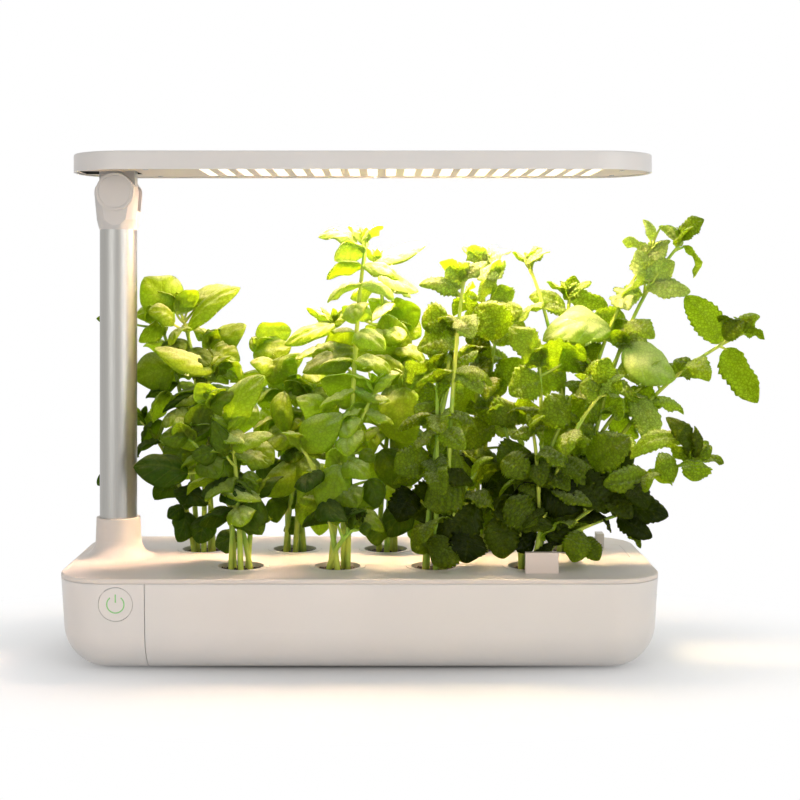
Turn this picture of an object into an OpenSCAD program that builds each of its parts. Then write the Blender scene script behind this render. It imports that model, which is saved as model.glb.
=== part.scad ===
// Countertop hydroponic garden: a water tank and a control housing under one planted deck,
// with a pole that carries a folding LED lamp. Millimetres, X right, Y back, Z up.
// The origin is on the table, under the middle of the base.

/* [Base] */
// Length of the base, left to right
base_length = 410; // [400:1:420]
// Depth of the base, front to back
base_depth = 169; // [165:1:174]
// Height of the deck's top face above the table
deck_top = 66; // [64:0.5:70]
// Corner radius of the base in plan
plan_radius = 33; // [32.5:0.1:34]
// Radius that rounds the walls into the floor
bottom_radius = 31; // [30.5:0.1:31.5]
// Gap between the table and the base
foot_gap = 0.8; // [0.6:0.1:1.2]
// Wall thickness of tank and housing
wall = 2.5; // [2.2:0.1:2.8]
// Place of the seam between housing and tank
split_x = -143.3; // [-144:0.1:-142.5]

/* [Deck] */
// Thickness of the deck plate
deck_thickness = 3; // [3:0.1:3.2]
// Distance between pods in one row
pod_pitch = 67.5; // [67:0.1:68]
// Radius of a pod hole
pod_hole_radius = 18.3; // [18:0.1:18.6]
// Place of the first pod of the back row
first_pod_x = -117; // [-118:0.5:-116]
// Front row of pods
front_row_y = -37; // [-38:0.5:-36]
// Back row of pods
back_row_y = 30; // [29:0.5:31]

/* [Pole] */
// Place of the pole along the base
pole_x = -175.3; // [-176:0.1:-175]
// Outer radius of the pole tube
pole_radius = 13.35; // [13.2:0.05:13.4]
// Wall of the pole tube
pole_wall = 1.4; // [1.2:0.1:1.6]
// Top of the collar that holds the pole
collar_top = 94.6; // [94:0.1:96]
// Outer radius of the collar at its top
collar_radius = 15.65; // [15.5:0.05:15.8]
// Radius of the flare at the foot of the collar
collar_flare = 13; // [12:0.5:13]
// Top of the visible tube, where the hinge head starts
tube_top = 302; // [301:0.5:303]
// Height of the lamp's hinge axis
hinge_z = 328.7; // [328.5:0.1:329]

/* [Lamp] */
// Height of the lamp's underside
lamp_z = 342.5; // [342.5:0.1:343]
// Thickness of the lamp
lamp_thickness = 12.9; // [12.8:0.1:14]
// Length of the lamp
lamp_length = 415; // [412:1:418]
// Depth of the lamp
lamp_depth = 96; // [94:1:98]
// Corner radius of the lamp in plan
lamp_radius = 44; // [43:0.5:45]
// Middle of the lamp along the base
lamp_x = 1.5; // [0:0.5:3]
// Number of lit windows
window_count = 22; // [18:1:22]
// Distance between lit windows
window_pitch = 13.16; // [13:0.02:13.2]
// Width of a lit window
window_width = 7.6; // [7:0.1:8]
// Length of a lit window, front to back
window_length = 72; // [70:1:74]

/* [Controls] */
// Place of the power button along the base
button_x = -162.7; // [-163:0.1:-162]
// Height of the power button
button_z = 49; // [48.5:0.1:49.5]
// Radius of the power button
button_radius = 11.3; // [11:0.1:11.5]
// Travel of the power button
button_travel = 0.8; // [0.6:0.1:0.8]

/* [Hidden] */
$fn = 72;

// Clearance between bodies that slide or lift apart
slip = 0.3;
eps = 0.05;

// Wall lean that makes the side wall tangent to the rounded bottom
rim_z = deck_top - deck_thickness;
arc_z = foot_gap + bottom_radius;
wall_rise = rim_z - arc_z;
wall_lean = acos(bottom_radius / norm([plan_radius, wall_rise])) - atan2(wall_rise, plan_radius);
seam_gap = 0.3;
seam_width = 0.4;
tank_left = split_x + seam_width / 2;
housing_right = split_x - seam_width / 2;

// Pods: odd numbers stand in the back row, even numbers in the front row, from left to right
function pod_x(i) = first_pod_x + (i - 1) * pod_pitch / 2;
function pod_y(i) = i % 2 == 1 ? back_row_y : front_row_y;
pot_depth = 40;
pot_flange_radius = pod_hole_radius + 1.4;
pot_flange_thickness = 1;
pot_recess = 0.8;
pot_top_radius = 17.4;
pot_bottom_radius = 13.5;
pot_wall = 1.3;
sponge_top = deck_top - 5;

function wall_y_at(z) = base_depth / 2 - (rim_z - z) * tan(wall_lean);

// ---------------------------------------------------------------- shared shapes

// A slab with rounded corners in plan. The child is its half profile, from the corner's centre
// line outwards (x) and upwards (y). bottom and top give the height of the plain middle block.
module slab(length, depth, corner, bottom, top) {
    half_l = length / 2 - corner;
    half_d = depth / 2 - corner;
    translate([-half_l, -half_d, bottom]) cube([2 * half_l, 2 * half_d, top - bottom]);
    for (side = [0, 180]) {
        rotate([0, 0, side]) translate([half_l, half_d, 0])
            rotate([90, 0, 0]) linear_extrude(2 * half_d) children();
        rotate([0, 0, side]) translate([-half_l, half_d, 0])
            rotate([90, 0, 90]) linear_extrude(2 * half_l) children();
        rotate([0, 0, side]) translate([half_l, half_d, 0]) rotate_extrude(angle = 90) children();
        rotate([0, 0, side]) translate([-half_l, half_d, 0])
            rotate([0, 0, 90]) rotate_extrude(angle = 90) children();
    }
}

// Half profile of the tub: a leaning wall tangent to a round bottom, moved inwards by inset
module tub_profile(inset, top) {
    r = bottom_radius - inset;
    low_z = arc_z - r * sin(wall_lean);
    low_r = r * cos(wall_lean);
    intersection() {
        translate([0, arc_z]) circle(r);
        translate([0, arc_z - r]) square([r, low_z - arc_z + r]);
    }
    polygon([[0, low_z], [low_r, low_z], [low_r + (top - low_z) * tan(wall_lean), top], [0, top]]);
}

module tub(inset, top) {
    slab(base_length, base_depth, plan_radius, arc_z - bottom_radius + inset, top) tub_profile(inset, top);
}

module x_range(low, high) {
    translate([low, -200, -5]) cube([high - low, 400, 200]);
}

// Half profile of a plate whose top edge is rounded by edge_r
module plate_profile(corner, bottom, top, edge_r) {
    translate([0, bottom]) square([corner, top - edge_r - bottom]);
    translate([0, top - edge_r]) square([corner - edge_r, edge_r]);
    intersection() {
        translate([corner - edge_r, top - edge_r]) circle(edge_r);
        translate([corner - edge_r, top - edge_r]) square(edge_r);
    }
}

module plate(length, depth, corner, bottom, top, edge_r) {
    slab(length, depth, corner, bottom, top) plate_profile(corner, bottom, top, edge_r);
}

// Sharp-edged plate with rounded corners, put at its middle
module round_plate(length, depth, corner, height) {
    slab(length, depth, corner, 0, height) square([corner, height]);
}

// Pan-head screw pointing up from its head's underside at the origin, with a cross recess
module screw(length, radius, head_radius, head_height) {
    difference() {
        union() {
            cylinder(r = radius, h = length);
            translate([0, 0, -head_height]) cylinder(r = head_radius, h = head_height);
        }
        for (turn = [0, 90])
            rotate([0, 0, turn]) translate([-head_radius * 0.6, -0.35, -head_height - 1])
                cube([head_radius * 1.2, 0.7, 1 + head_height * 0.6]);
    }
}

// Eight-sided rod between two points
module rod(from, to, radius, sides) {
    d = to - from;
    translate(from) rotate([0, acos(d[2] / norm(d)), atan2(d[1], d[0])])
        cylinder(r = radius, h = norm(d), $fn = sides);
}

// Tube solid along a route: a ring of points square to the route at each point, joined by faces
function unit(v) = v / norm(v);
function route_direction(p, i) =
    unit(p[min(i + 1, len(p) - 1)] - p[max(i - 1, 0)]);
function side_of(d) = unit(abs(d[2]) > 0.9 ? cross(d, [0, 1, 0]) : cross(d, [0, 0, 1]));
module lead(points, radius, sides = 8) {
    n = len(points);
    rings = [for (i = [0:n - 1]) let (d = route_direction(points, i), a = side_of(d), b = cross(d, a))
        for (k = [0:sides - 1]) points[i] + radius * (a * cos(k * 360 / sides) + b * sin(k * 360 / sides))];
    walls = [for (i = [0:n - 2]) for (k = [0:sides - 1])
        [i * sides + k, i * sides + (k + 1) % sides, (i + 1) * sides + (k + 1) % sides, (i + 1) * sides + k]];
    first = [for (k = [sides - 1:-1:0]) k];
    last = [for (k = [0:sides - 1]) (n - 1) * sides + k];
    polyhedron(rings, concat(walls, [first], [last]));
}

// ---------------------------------------------------------------- tank

tank_foot_x = [-105, 0, 160];
tank_foot_y = 38;
housing_foot = [-160, 30];
foot_radius = 6;
foot_height = 1.6;
lead_notch_y = -20;
lead_notch_width = 7;
lead_notch_depth = 9;

module foot_pads(places, extra = 0) {
    for (p = places)
        translate([p[0], p[1], 0]) cylinder(r = foot_radius + extra, h = foot_height + extra);
}
tank_foot_places = [[0, 0], [tank_foot_x[0], tank_foot_y], [tank_foot_x[0], -tank_foot_y],
                    [tank_foot_x[2], tank_foot_y], [tank_foot_x[2], -tank_foot_y]];
housing_foot_places = [[housing_foot[0], housing_foot[1]], [housing_foot[0], -housing_foot[1]]];

module lead_notch(x) {
    translate([x, lead_notch_y - lead_notch_width / 2, rim_z - lead_notch_depth])
        cube([10, lead_notch_width, 20]);
}

module tank() {
    top = rim_z - seam_gap;
    color("whitesmoke") difference() {
        intersection() { tub(0, top); x_range(tank_left, 300); }
        intersection() { tub(wall, top + 1); x_range(tank_left + wall, 300); }
        foot_pads(tank_foot_places, eps);
        lead_notch(tank_left - 4);
    }
}

module tank_feet() {
    color("dimgray") foot_pads(tank_foot_places);
}

// ---------------------------------------------------------------- control housing

housing_boss = [[-153, 45], [-153, -45], [-181, 33], [-181, -33]];
boss_radius = 4.6;
boss_top = 54;
screw_radius = 1.5;
screw_head = 2.8;
screw_head_height = 1.8;
screw_seat = boss_top - 8;
hole_play = 0.05;
board_left = -188;
board_right = -152;
board_bottom = 22;
board_top = 58;
board_y = -66;
board_thickness = 1.6;
inlet_x = -158;
inlet_z = 40;
inlet_radius = 5.2;

// Round button outline along Y, from the front
module button_bar(radius, from_y, to_y) {
    translate([button_x, from_y, button_z]) rotate([-90, 0, 0]) cylinder(r = radius, h = to_y - from_y);
}

board_posts = [-184, -156];
post_width = 4;
post_top = 46;
board_screw_z = 43;
small_screw_radius = 1;

// Post from the floor that carries the board's lower edge and stands behind it
module board_post(x) {
    translate([x, board_y - 2, 0]) cube([post_width, board_thickness + 4, board_bottom - hole_play]);
    translate([x, board_y + board_thickness + hole_play, 0]) cube([post_width, post_width, post_top]);
}

module board_screw_holes() {
    for (x = board_posts)
        translate([x + post_width / 2, board_y - 1, board_screw_z]) rotate([-90, 0, 0])
            cylinder(r = small_screw_radius + hole_play, h = 5.5);
}

module control_housing() {
    top = rim_z - seam_gap;
    color("whitesmoke") difference() {
        union() {
            difference() {
                intersection() { tub(0, top); x_range(-300, housing_right); }
                intersection() { tub(wall, top + 1); x_range(-300, housing_right - wall); }
            }
            intersection() {
                tub(wall / 2, top - 1);
                union() {
                    for (p = housing_boss)
                        translate([p[0], p[1], 0]) cylinder(r = boss_radius, h = boss_top);
                    for (x = board_posts) board_post(x);
                }
            }
        }
        for (p = housing_boss) {
            translate([p[0], p[1], -1]) cylinder(r = screw_head + 0.3, h = screw_seat + 1);
            translate([p[0], p[1], 0]) cylinder(r = screw_radius + hole_play, h = 100);
        }
        button_bar(button_radius + slip, -100, board_y - 2);
        translate([inlet_x, 60, inlet_z]) rotate([-90, 0, 0]) cylinder(r = inlet_radius + hole_play, h = 50);
        board_screw_holes();
        foot_pads(housing_foot_places, eps);
        lead_notch(housing_right - 6);
    }
}

module housing_feet() {
    color("dimgray") foot_pads(housing_foot_places);
}

module housing_screws() {
    color("silver")
        for (p = housing_boss)
            translate([p[0], p[1], screw_seat]) screw(14, screw_radius, screw_head, screw_head_height);
}

module control_board() {
    color("darkgreen") difference() {
        translate([board_left, board_y, board_bottom])
            cube([board_right - board_left, board_thickness, board_top - board_bottom]);
        board_screw_holes();
    }
    color("black") translate([-178, board_y + board_thickness, 30]) cube([9, 3, 14]);
    color("dimgray") translate([-164, board_y + board_thickness, 32]) cube([6, 5, 9]);
}

module board_screws() {
    color("silver")
        for (x = board_posts)
            translate([x + post_width / 2, board_y, board_screw_z]) rotate([-90, 0, 0])
                screw(4, small_screw_radius, 1.9, 1.2);
}

switch_size = 6;
switch_height = 3.5;
plunger_height = 0.8;
plunger_radius = 1.75;
module button_switch() {
    color("black") {
        translate([button_x - switch_size / 2, board_y - switch_height, button_z - switch_size / 2])
            cube([switch_size, switch_height, switch_size]);
        button_bar(plunger_radius, board_y - switch_height - plunger_height, board_y - switch_height);
    }
}

symbol_radius = 6.2;
symbol_stroke = 0.9;
symbol_depth = 0.8;
symbol_gap = 38;
symbol_bar = 5.6;

// The power symbol: a ring open at the top with an upright bar
module symbol_outline() {
    difference() {
        circle(symbol_radius);
        circle(symbol_radius - symbol_stroke);
        polygon([[0, 0], [-20 * tan(symbol_gap), 20], [20 * tan(symbol_gap), 20]]);
    }
    translate([-symbol_stroke / 2, symbol_radius - symbol_bar + 0.6]) square([symbol_stroke, symbol_bar]);
}

// The symbol's block through the button's front face
module symbol_block() {
    face_y = -wall_y_at(button_z) + symbol_depth;
    translate([button_x, face_y, button_z]) rotate([90, 0, 0]) linear_extrude(4) symbol_outline();
}

button_flange_radius = 13;
button_flange_gap = 1.5;
button_stem_radius = 2.6;
module power_button() {
    inner_y = -wall_y_at(button_z) + wall + button_flange_gap;
    stem_end = board_y - switch_height - plunger_height - slip - button_travel;
    color("whitesmoke") {
        difference() {
            intersection() { button_bar(button_radius, -100, inner_y); tub(0, rim_z); }
            symbol_block();
        }
        button_bar(button_flange_radius, inner_y, inner_y + 1);
        button_bar(button_stem_radius, inner_y + 1, stem_end);
    }
}

module power_symbol() {
    color("mediumseagreen") intersection() { symbol_block(); tub(0, rim_z); }
}

module power_inlet() {
    y = wall_y_at(inlet_z) - 0.6;
    color("black") {
        difference() {
            union() {
                translate([inlet_x, y - 3, inlet_z]) rotate([-90, 0, 0]) cylinder(r = inlet_radius, h = 3);
                translate([inlet_x - 4.5, y - 13, inlet_z - 6]) cube([9, 10, 11]);
            }
            translate([inlet_x, y - 10, inlet_z]) rotate([-90, 0, 0]) cylinder(r = 2.75, h = 20);
        }
        translate([inlet_x, y - 10.5, inlet_z]) rotate([-90, 0, 0]) cylinder(r = 1.05, h = 9);
    }
}

// ---------------------------------------------------------------- deck

deck_edge = 1;
collar_foot_radius = collar_radius + 0.55 + collar_flare;
tube_bottom = deck_top + 2;
ledge_bottom = rim_z - 3;
foot_screw_radius = 8;
lead_hole_radius = 4;
rib_thickness = 1.6;
rib_depth = 7;
cap_x = [174.2, 194];
cap_y = [-8, 48];
cap_corner = 5;
cap_thickness = 1.8;
cap_ledge = 1.8;
float_x = [113, 135.5];
float_y = -62;
float_thickness = 4.4;
hanger_x = -127;
hanger_screw_reach = 7;
hanger_plate = [18, 10, 3];

module cap_slab(inset, z, height) {
    length = cap_x[1] - cap_x[0] - 2 * inset;
    depth = cap_y[1] - cap_y[0] - 2 * inset;
    translate([(cap_x[0] + cap_x[1]) / 2, (cap_y[0] + cap_y[1]) / 2, z])
        round_plate(length, depth, cap_corner - inset, height);
}

// The collar: a straight sleeve over a concave flare, as one turned profile
module collar() {
    flare_z = deck_top + collar_flare;
    translate([pole_x, 0, 0]) rotate_extrude() difference() {
        polygon([[0, deck_top - 1], [collar_foot_radius, deck_top - 1], [collar_foot_radius, deck_top],
                 [collar_foot_radius, flare_z], [collar_radius + 0.55, flare_z],
                 [collar_radius, collar_top], [0, collar_top]]);
        translate([collar_foot_radius, flare_z]) circle(collar_flare);
    }
}

module deck() {
    color("whitesmoke") difference() {
        union() {
            plate(base_length, base_depth, plan_radius, rim_z, deck_top, deck_edge);
            collar();
            translate([pole_x, 0, ledge_bottom]) cylinder(r = 12, h = deck_top - ledge_bottom);
            for (p = housing_boss)
                translate([p[0], p[1], boss_top + eps]) cylinder(r = boss_radius, h = deck_top - 1 - boss_top);
            for (side = [-1, 1])
                translate([-90, side * (base_depth / 2 - wall - 1.8) - rib_thickness / 2, rim_z - rib_depth])
                    cube([250, rib_thickness, rib_depth + 1]);
            cap_slab(0, rim_z - 3, 5);
        }
        for (i = [1:9]) translate([pod_x(i), pod_y(i), 0]) {
            cylinder(r = pod_hole_radius, h = 100);
            translate([0, 0, deck_top - pot_recess]) cylinder(r = pot_flange_radius + 0.2, h = 10);
        }
        translate([pole_x, 0, tube_bottom]) cylinder(r = pole_radius + hole_play, h = 100);
        translate([pole_x, 0, 0]) cylinder(r = lead_hole_radius, h = 100);
        for (side = [-1, 1])
            translate([pole_x, side * foot_screw_radius, 0]) cylinder(r = screw_radius + hole_play, h = 100);
        for (p = housing_boss)
            translate([p[0], p[1], 0]) cylinder(r = screw_radius + hole_play, h = screw_seat + 14.5);
        for (side = [-1, 1])
            translate([hanger_x + side * hanger_screw_reach, pump_axis[0], 0])
                cylinder(r = small_screw_radius + hole_play, h = rim_z + 1.8);
        cap_slab(-slip, deck_top - cap_thickness - slip, 10);
        cap_slab(cap_ledge, 0, 100);
        translate([float_x[0] - 0.4, float_y - float_thickness / 2 - 0.4, 0])
            cube([float_x[1] - float_x[0] + 0.8, float_thickness + 0.8, 100]);
    }
}

grip_x = [175.4, 180.8];
grip_y = [33, 44];
grip_height = 10.5;
module refill_cap() {
    color("whitesmoke") {
        cap_slab(0, deck_top - cap_thickness, cap_thickness);
        difference() {
            cap_slab(cap_ledge + 0.4, rim_z - 4, 4 + deck_thickness - cap_thickness);
            cap_slab(cap_ledge + 2, rim_z - 5, 5 + deck_thickness - cap_thickness - 0.2);
        }
        translate([grip_x[0], grip_y[0], deck_top - 0.2])
            cube([grip_x[1] - grip_x[0], grip_y[1] - grip_y[0], grip_height + 0.2]);
    }
}

flag_height = 14;
module level_float() {
    mid_x = (float_x[0] + float_x[1]) / 2;
    width = float_x[1] - float_x[0];
    color("whitesmoke") {
        translate([float_x[0], float_y - float_thickness / 2, 44])
            cube([width, float_thickness, deck_top + flag_height - 44]);
        difference() {
            translate([mid_x - 17, float_y - 9, 30]) cube([34, 15, 14]);
            translate([mid_x - 15.5, float_y - 7.5, 31.5]) cube([31, 12, 11]);
        }
    }
}

// ---------------------------------------------------------------- pods

module net_pot(i) {
    slot_count = 8;
    slot_width = 3.6;
    inner_top = pot_top_radius - pot_wall;
    inner_bottom = pot_bottom_radius - pot_wall;
    bottom = deck_top - pot_depth;
    color("dimgray") translate([pod_x(i), pod_y(i), 0]) difference() {
        union() {
            translate([0, 0, deck_top - pot_recess]) cylinder(r = pot_flange_radius, h = pot_flange_thickness);
            translate([0, 0, bottom])
                cylinder(r1 = pot_bottom_radius, r2 = pot_top_radius, h = pot_depth - pot_recess + eps);
        }
        translate([0, 0, bottom + 2])
            cylinder(r1 = inner_bottom, r2 = inner_top, h = pot_depth);
        for (k = [0:slot_count / 2 - 1])
            rotate([0, 0, k * 360 / slot_count])
                translate([-30, -slot_width / 2, bottom + 4]) cube([60, slot_width, pot_depth - 16]);
    }
}

module grow_sponges() {
    bottom = deck_top - pot_depth + 2 + eps;
    color("saddlebrown")
        for (i = [1:9]) translate([pod_x(i), pod_y(i), bottom])
            cylinder(r1 = pot_bottom_radius - pot_wall - 0.3, r2 = pot_top_radius - pot_wall - 1,
                     h = sponge_top - bottom);
}

// ---------------------------------------------------------------- pump

pump_axis = [-43, 21];
pump_radius = 14;
saddle_x = [-132, -122];
saddle_half = 9;
saddle_z = pump_axis[1] + pump_radius + 2;
saddle_screw_reach = 6.5;
outlet_y = pump_axis[0] + 6;
outlet_top = pump_axis[1] + pump_radius + 5;
outlet_radius = 3.4;
outlet_bore = 2;
pump_left = -137;
pump_face = -113;
cover_thickness = 2.5;
well_radius = 6.4;
vane_radius = 10.4;
chamber_radius = 11.6;
chamber_left = pump_face - 6;
well_left = pump_left + 3;
outlet_x = pump_face - outlet_radius - slip;

module along_x(x, length) {
    translate([x, pump_axis[0], pump_axis[1]]) rotate([0, 90, 0]) linear_extrude(length) children();
}

module saddle_holes(z) {
    for (side = [-1, 1])
        translate([hanger_x, pump_axis[0] + side * saddle_screw_reach, z])
            cylinder(r = small_screw_radius + hole_play, h = 20);
}

module pump_body() {
    color("black") difference() {
        union() {
            along_x(pump_left, pump_face - pump_left) circle(pump_radius);
            translate([saddle_x[0], pump_axis[0] - saddle_half, pump_axis[1]])
                cube([saddle_x[1] - saddle_x[0], 2 * saddle_half, saddle_z - pump_axis[1]]);
            translate([outlet_x, outlet_y, pump_axis[1]]) cylinder(r = outlet_radius, h = outlet_top - pump_axis[1]);
        }
        along_x(chamber_left, 20) circle(chamber_radius);
        along_x(well_left, 40) circle(well_radius);
        translate([outlet_x, outlet_y, pump_axis[1]]) cylinder(r = outlet_bore, h = 40);
        saddle_holes(saddle_z - 6.5);
    }
}

module pump_cover() {
    color("dimgray") along_x(pump_face, cover_thickness) difference() {
        circle(pump_radius);
        circle(3.2);
        for (k = [0:5]) rotate([0, 0, 60 * k]) translate([6.5, 0]) circle(1.3);
    }
}

module rotor_shaft() {
    color("lightgray") along_x(well_left, pump_face - well_left - 1.2) circle(1);
}

module pump_rotor() {
    color("royalblue") difference() {
        union() {
            along_x(well_left + 0.6, chamber_left - well_left + 0.2) circle(well_radius - 0.4);
            along_x(chamber_left + 0.6, 1) circle(vane_radius);
            for (k = [0:4])
                translate([chamber_left + 1.4, pump_axis[0], pump_axis[1]]) rotate([72 * k, 0, 0])
                    translate([0, -0.6, 0]) cube([3.4, 1.2, vane_radius - 0.3]);
        }
        along_x(pump_left, 40) circle(1.05);
    }
}

// The arm under the deck that carries the pump on its saddle
module pump_hanger() {
    color("whitesmoke") difference() {
        union() {
            translate([hanger_x - hanger_plate[0] / 2, pump_axis[0] - hanger_plate[1] / 2, rim_z - hanger_plate[2]])
                cube(hanger_plate);
            translate([hanger_x - 4, pump_axis[0] - 3, saddle_z + 1]) cube([8, 6, rim_z - 1 - saddle_z - 1]);
            translate([saddle_x[0], pump_axis[0] - saddle_half, saddle_z])
                cube([saddle_x[1] - saddle_x[0], 2 * saddle_half, 3]);
        }
        saddle_holes(saddle_z - 1);
        for (side = [-1, 1])
            translate([hanger_x + side * hanger_screw_reach, pump_axis[0], rim_z - 10])
                cylinder(r = small_screw_radius + hole_play, h = 20);
    }
}

module pump_screws() {
    color("silver")
        for (side = [-1, 1]) {
            translate([hanger_x + side * hanger_screw_reach, pump_axis[0], rim_z - hanger_plate[2]])
                screw(4.5, small_screw_radius, 1.8, 1.2);
            translate([hanger_x, pump_axis[0] + side * saddle_screw_reach, saddle_z + 3])
                rotate([180, 0, 0]) screw(9, small_screw_radius, 1.8, 1.2);
        }
}

pipe_top = rim_z - 3;
module outlet_pipe() {
    color("gainsboro") translate([outlet_x, outlet_y, outlet_top]) difference() {
        cylinder(r = outlet_radius, h = pipe_top - outlet_top);
        translate([0, 0, -1]) cylinder(r = outlet_bore, h = pipe_top);
    }
}

pump_lead_points = [[-135.2, -41, 35.2], [-135.2, -40.4, 40], [-135.2, -37, 46], [-135.3, -31, 52],
    [-136, -25, 56.5], [-138, -21.2, 58], [-141, -20, 58.2], [-145, -20, 58.2], [-149, -20.6, 57.6],
    [-153.5, -24.5, 55.5], [-158, -32, 51.5], [-161.5, -42, 46.5], [-162.5, -51, 42],
    [-162.6, -56.2, 39.6], [-162.6, -58.6, 38.6]];
module pump_lead() {
    color("black") lead(pump_lead_points, 1.3);
}

// ---------------------------------------------------------------- pole and hinge

pole_bore = pole_radius - pole_wall;
plug_top = tube_bottom + 18;
spigot_bottom = tube_top - 16;
shoulder_half = 15.8;
shoulder_z = hinge_z - 1.5;
head_half_depth = 14.6;
ear_radius = 13.5;
ear_face = 16.6;
ear_gap = 7;
head_radius = 18;
tongue_half = 6;
tongue_radius = 12.8;
slot_floor = hinge_z - tongue_radius - 0.6;
pin_radius = 3;
cap_radius = 11.4;
cap_depth = 1.6;
nut_radius = 5.2;

module pole_tube() {
    color("silver") translate([pole_x, 0, tube_bottom]) difference() {
        cylinder(r = pole_radius, h = tube_top - tube_bottom);
        translate([0, 0, -1]) cylinder(r = pole_bore, h = tube_top);
    }
}

module pole_foot() {
    color("dimgray") translate([pole_x, 0, tube_bottom]) difference() {
        cylinder(r = pole_bore - hole_play, h = plug_top - tube_bottom);
        translate([0, 0, -1]) cylinder(r = lead_hole_radius, h = 60);
        for (side = [-1, 1])
            translate([0, side * foot_screw_radius, -1]) cylinder(r = screw_radius + hole_play, h = 13);
    }
}

module pole_foot_screws() {
    color("silver")
        for (side = [-1, 1])
            translate([pole_x, side * foot_screw_radius, ledge_bottom])
                screw(18, screw_radius, screw_head, screw_head_height);
}

// Cylinder along Y through the hinge axis
module hinge_bar(radius, from_y, to_y) {
    translate([pole_x, from_y, hinge_z]) rotate([-90, 0, 0]) cylinder(r = radius, h = to_y - from_y);
}

// Front view of the hinge head: it widens from the tube to round shoulders
module head_front_outline() {
    right = [[pole_radius + eps, tube_top], [shoulder_half, shoulder_z], [shoulder_half, shoulder_z + 2.5],
             [shoulder_half - 0.7, shoulder_z + 4.8], [shoulder_half - 2.4, shoulder_z + 6.5]];
    polygon(concat(right, [for (k = [len(right) - 1:-1:0]) [-right[k][0], right[k][1]]]));
}

module hinge_head() {
    color("whitesmoke") difference() {
        union() {
            intersection() {
                translate([pole_x, 0, 0]) rotate_extrude()
                    polygon([[0, tube_top], [pole_radius, tube_top], [head_radius - 1.6, tube_top + 7],
                             [head_radius, shoulder_z], [head_radius, hinge_z + 20], [0, hinge_z + 20]]);
                translate([pole_x, head_half_depth, 0]) rotate([90, 0, 0])
                    linear_extrude(2 * head_half_depth) head_front_outline();
            }
            translate([pole_x, 0, spigot_bottom])
                cylinder(r = pole_bore - hole_play, h = tube_top - spigot_bottom + 1);
            hinge_bar(ear_radius, -ear_face, ear_face);
        }
        translate([pole_x - 30, -ear_gap, slot_floor]) cube([60, 2 * ear_gap, 60]);
        hinge_bar(pin_radius + hole_play, -30, 30);
        for (side = [-1, 1]) {
            low = side > 0 ? ear_face - cap_depth : -ear_face - 5;
            hinge_bar(cap_radius + 0.15, low, low + 5 + cap_depth);
        }
        hinge_bar(nut_radius + 0.4, ear_face - cap_depth - 3.6, 30);
        hinge_bar(nut_radius + 0.4, -30, -ear_face + cap_depth + 2.4);
        translate([pole_x, 0, 0]) cylinder(r = 2.4, h = slot_floor + 1);
    }
}

module hinge_pin() {
    low = -ear_face + cap_depth + 0.4;
    color("silver") {
        hinge_bar(pin_radius, low + 2, ear_face - cap_depth - 0.4);
        hinge_bar(nut_radius, low, low + 2);
    }
}

module hinge_nut() {
    low = ear_face - cap_depth - 3.6;
    color("silver") difference() {
        translate([pole_x, low, hinge_z]) rotate([-90, 0, 0]) cylinder(r = nut_radius, h = 2.8, $fn = 6);
        hinge_bar(pin_radius + hole_play, -30, 30);
    }
}

module friction_washers() {
    color("dimgray")
        for (low = [-ear_gap, tongue_half + 0.35])
            difference() {
                hinge_bar(9, low, low + ear_gap - tongue_half - 0.35);
                hinge_bar(pin_radius + hole_play, -30, 30);
            }
}

module hinge_cap(side) {
    low = side > 0 ? ear_face - cap_depth : -ear_face;
    color("whitesmoke") hinge_bar(cap_radius, low + eps, low + cap_depth - eps);
}
module hinge_cap_front() { hinge_cap(-1); }
module hinge_cap_rear() { hinge_cap(1); }

lamp_lead_points = [[-159.6, -58.6, 34.5], [-161, -54, 32.6], [-165, -44, 32], [-169, -32, 34], [-172, -20, 40],
    [-174, -10, 48], [-175, -3, 56], [-175.3, 0, 64], [-175.3, 0, 110], [-175.3, 0, 160], [-175.3, 0, 210],
    [-175.3, 0, 260], [-175.3, 0, 300], [-175.3, 0, 312]];
module lamp_lead() {
    color("black") lead(lamp_lead_points, 1.5);
}

// ---------------------------------------------------------------- lamp

lamp_top = lamp_z + lamp_thickness;
lamp_wall = 2;
lamp_edge = 1.2;
panel_recess = 0.8;
panel_thickness = 1.6;
panel_z = lamp_z + panel_recess;
panel_inset = lamp_wall + 0.2;
pocket_x = [-201.1, -160];
pocket_half = head_half_depth + 0.6;
pocket_ceiling = lamp_z + 3.4;
pocket_skin = 1.4;
window_first = 28.3 - (window_count - 1) * window_pitch / 2;
board_z = panel_z + panel_thickness + 0.2;
flange_z = lamp_z + 6.9;
flange_thickness = 2.4;
flange_size = [34, 26];
cover_inner = lamp_top - 1.6;
knuckle_screw = [13, 9];
knuckle_lead_x = pole_x + 7.9;
knuckle_lead_radius = 2.2;
panel_screw_spots = [[-150, 36], [-150, -36], [10, 42], [10, -42], [185, 24], [185, -24]];

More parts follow.
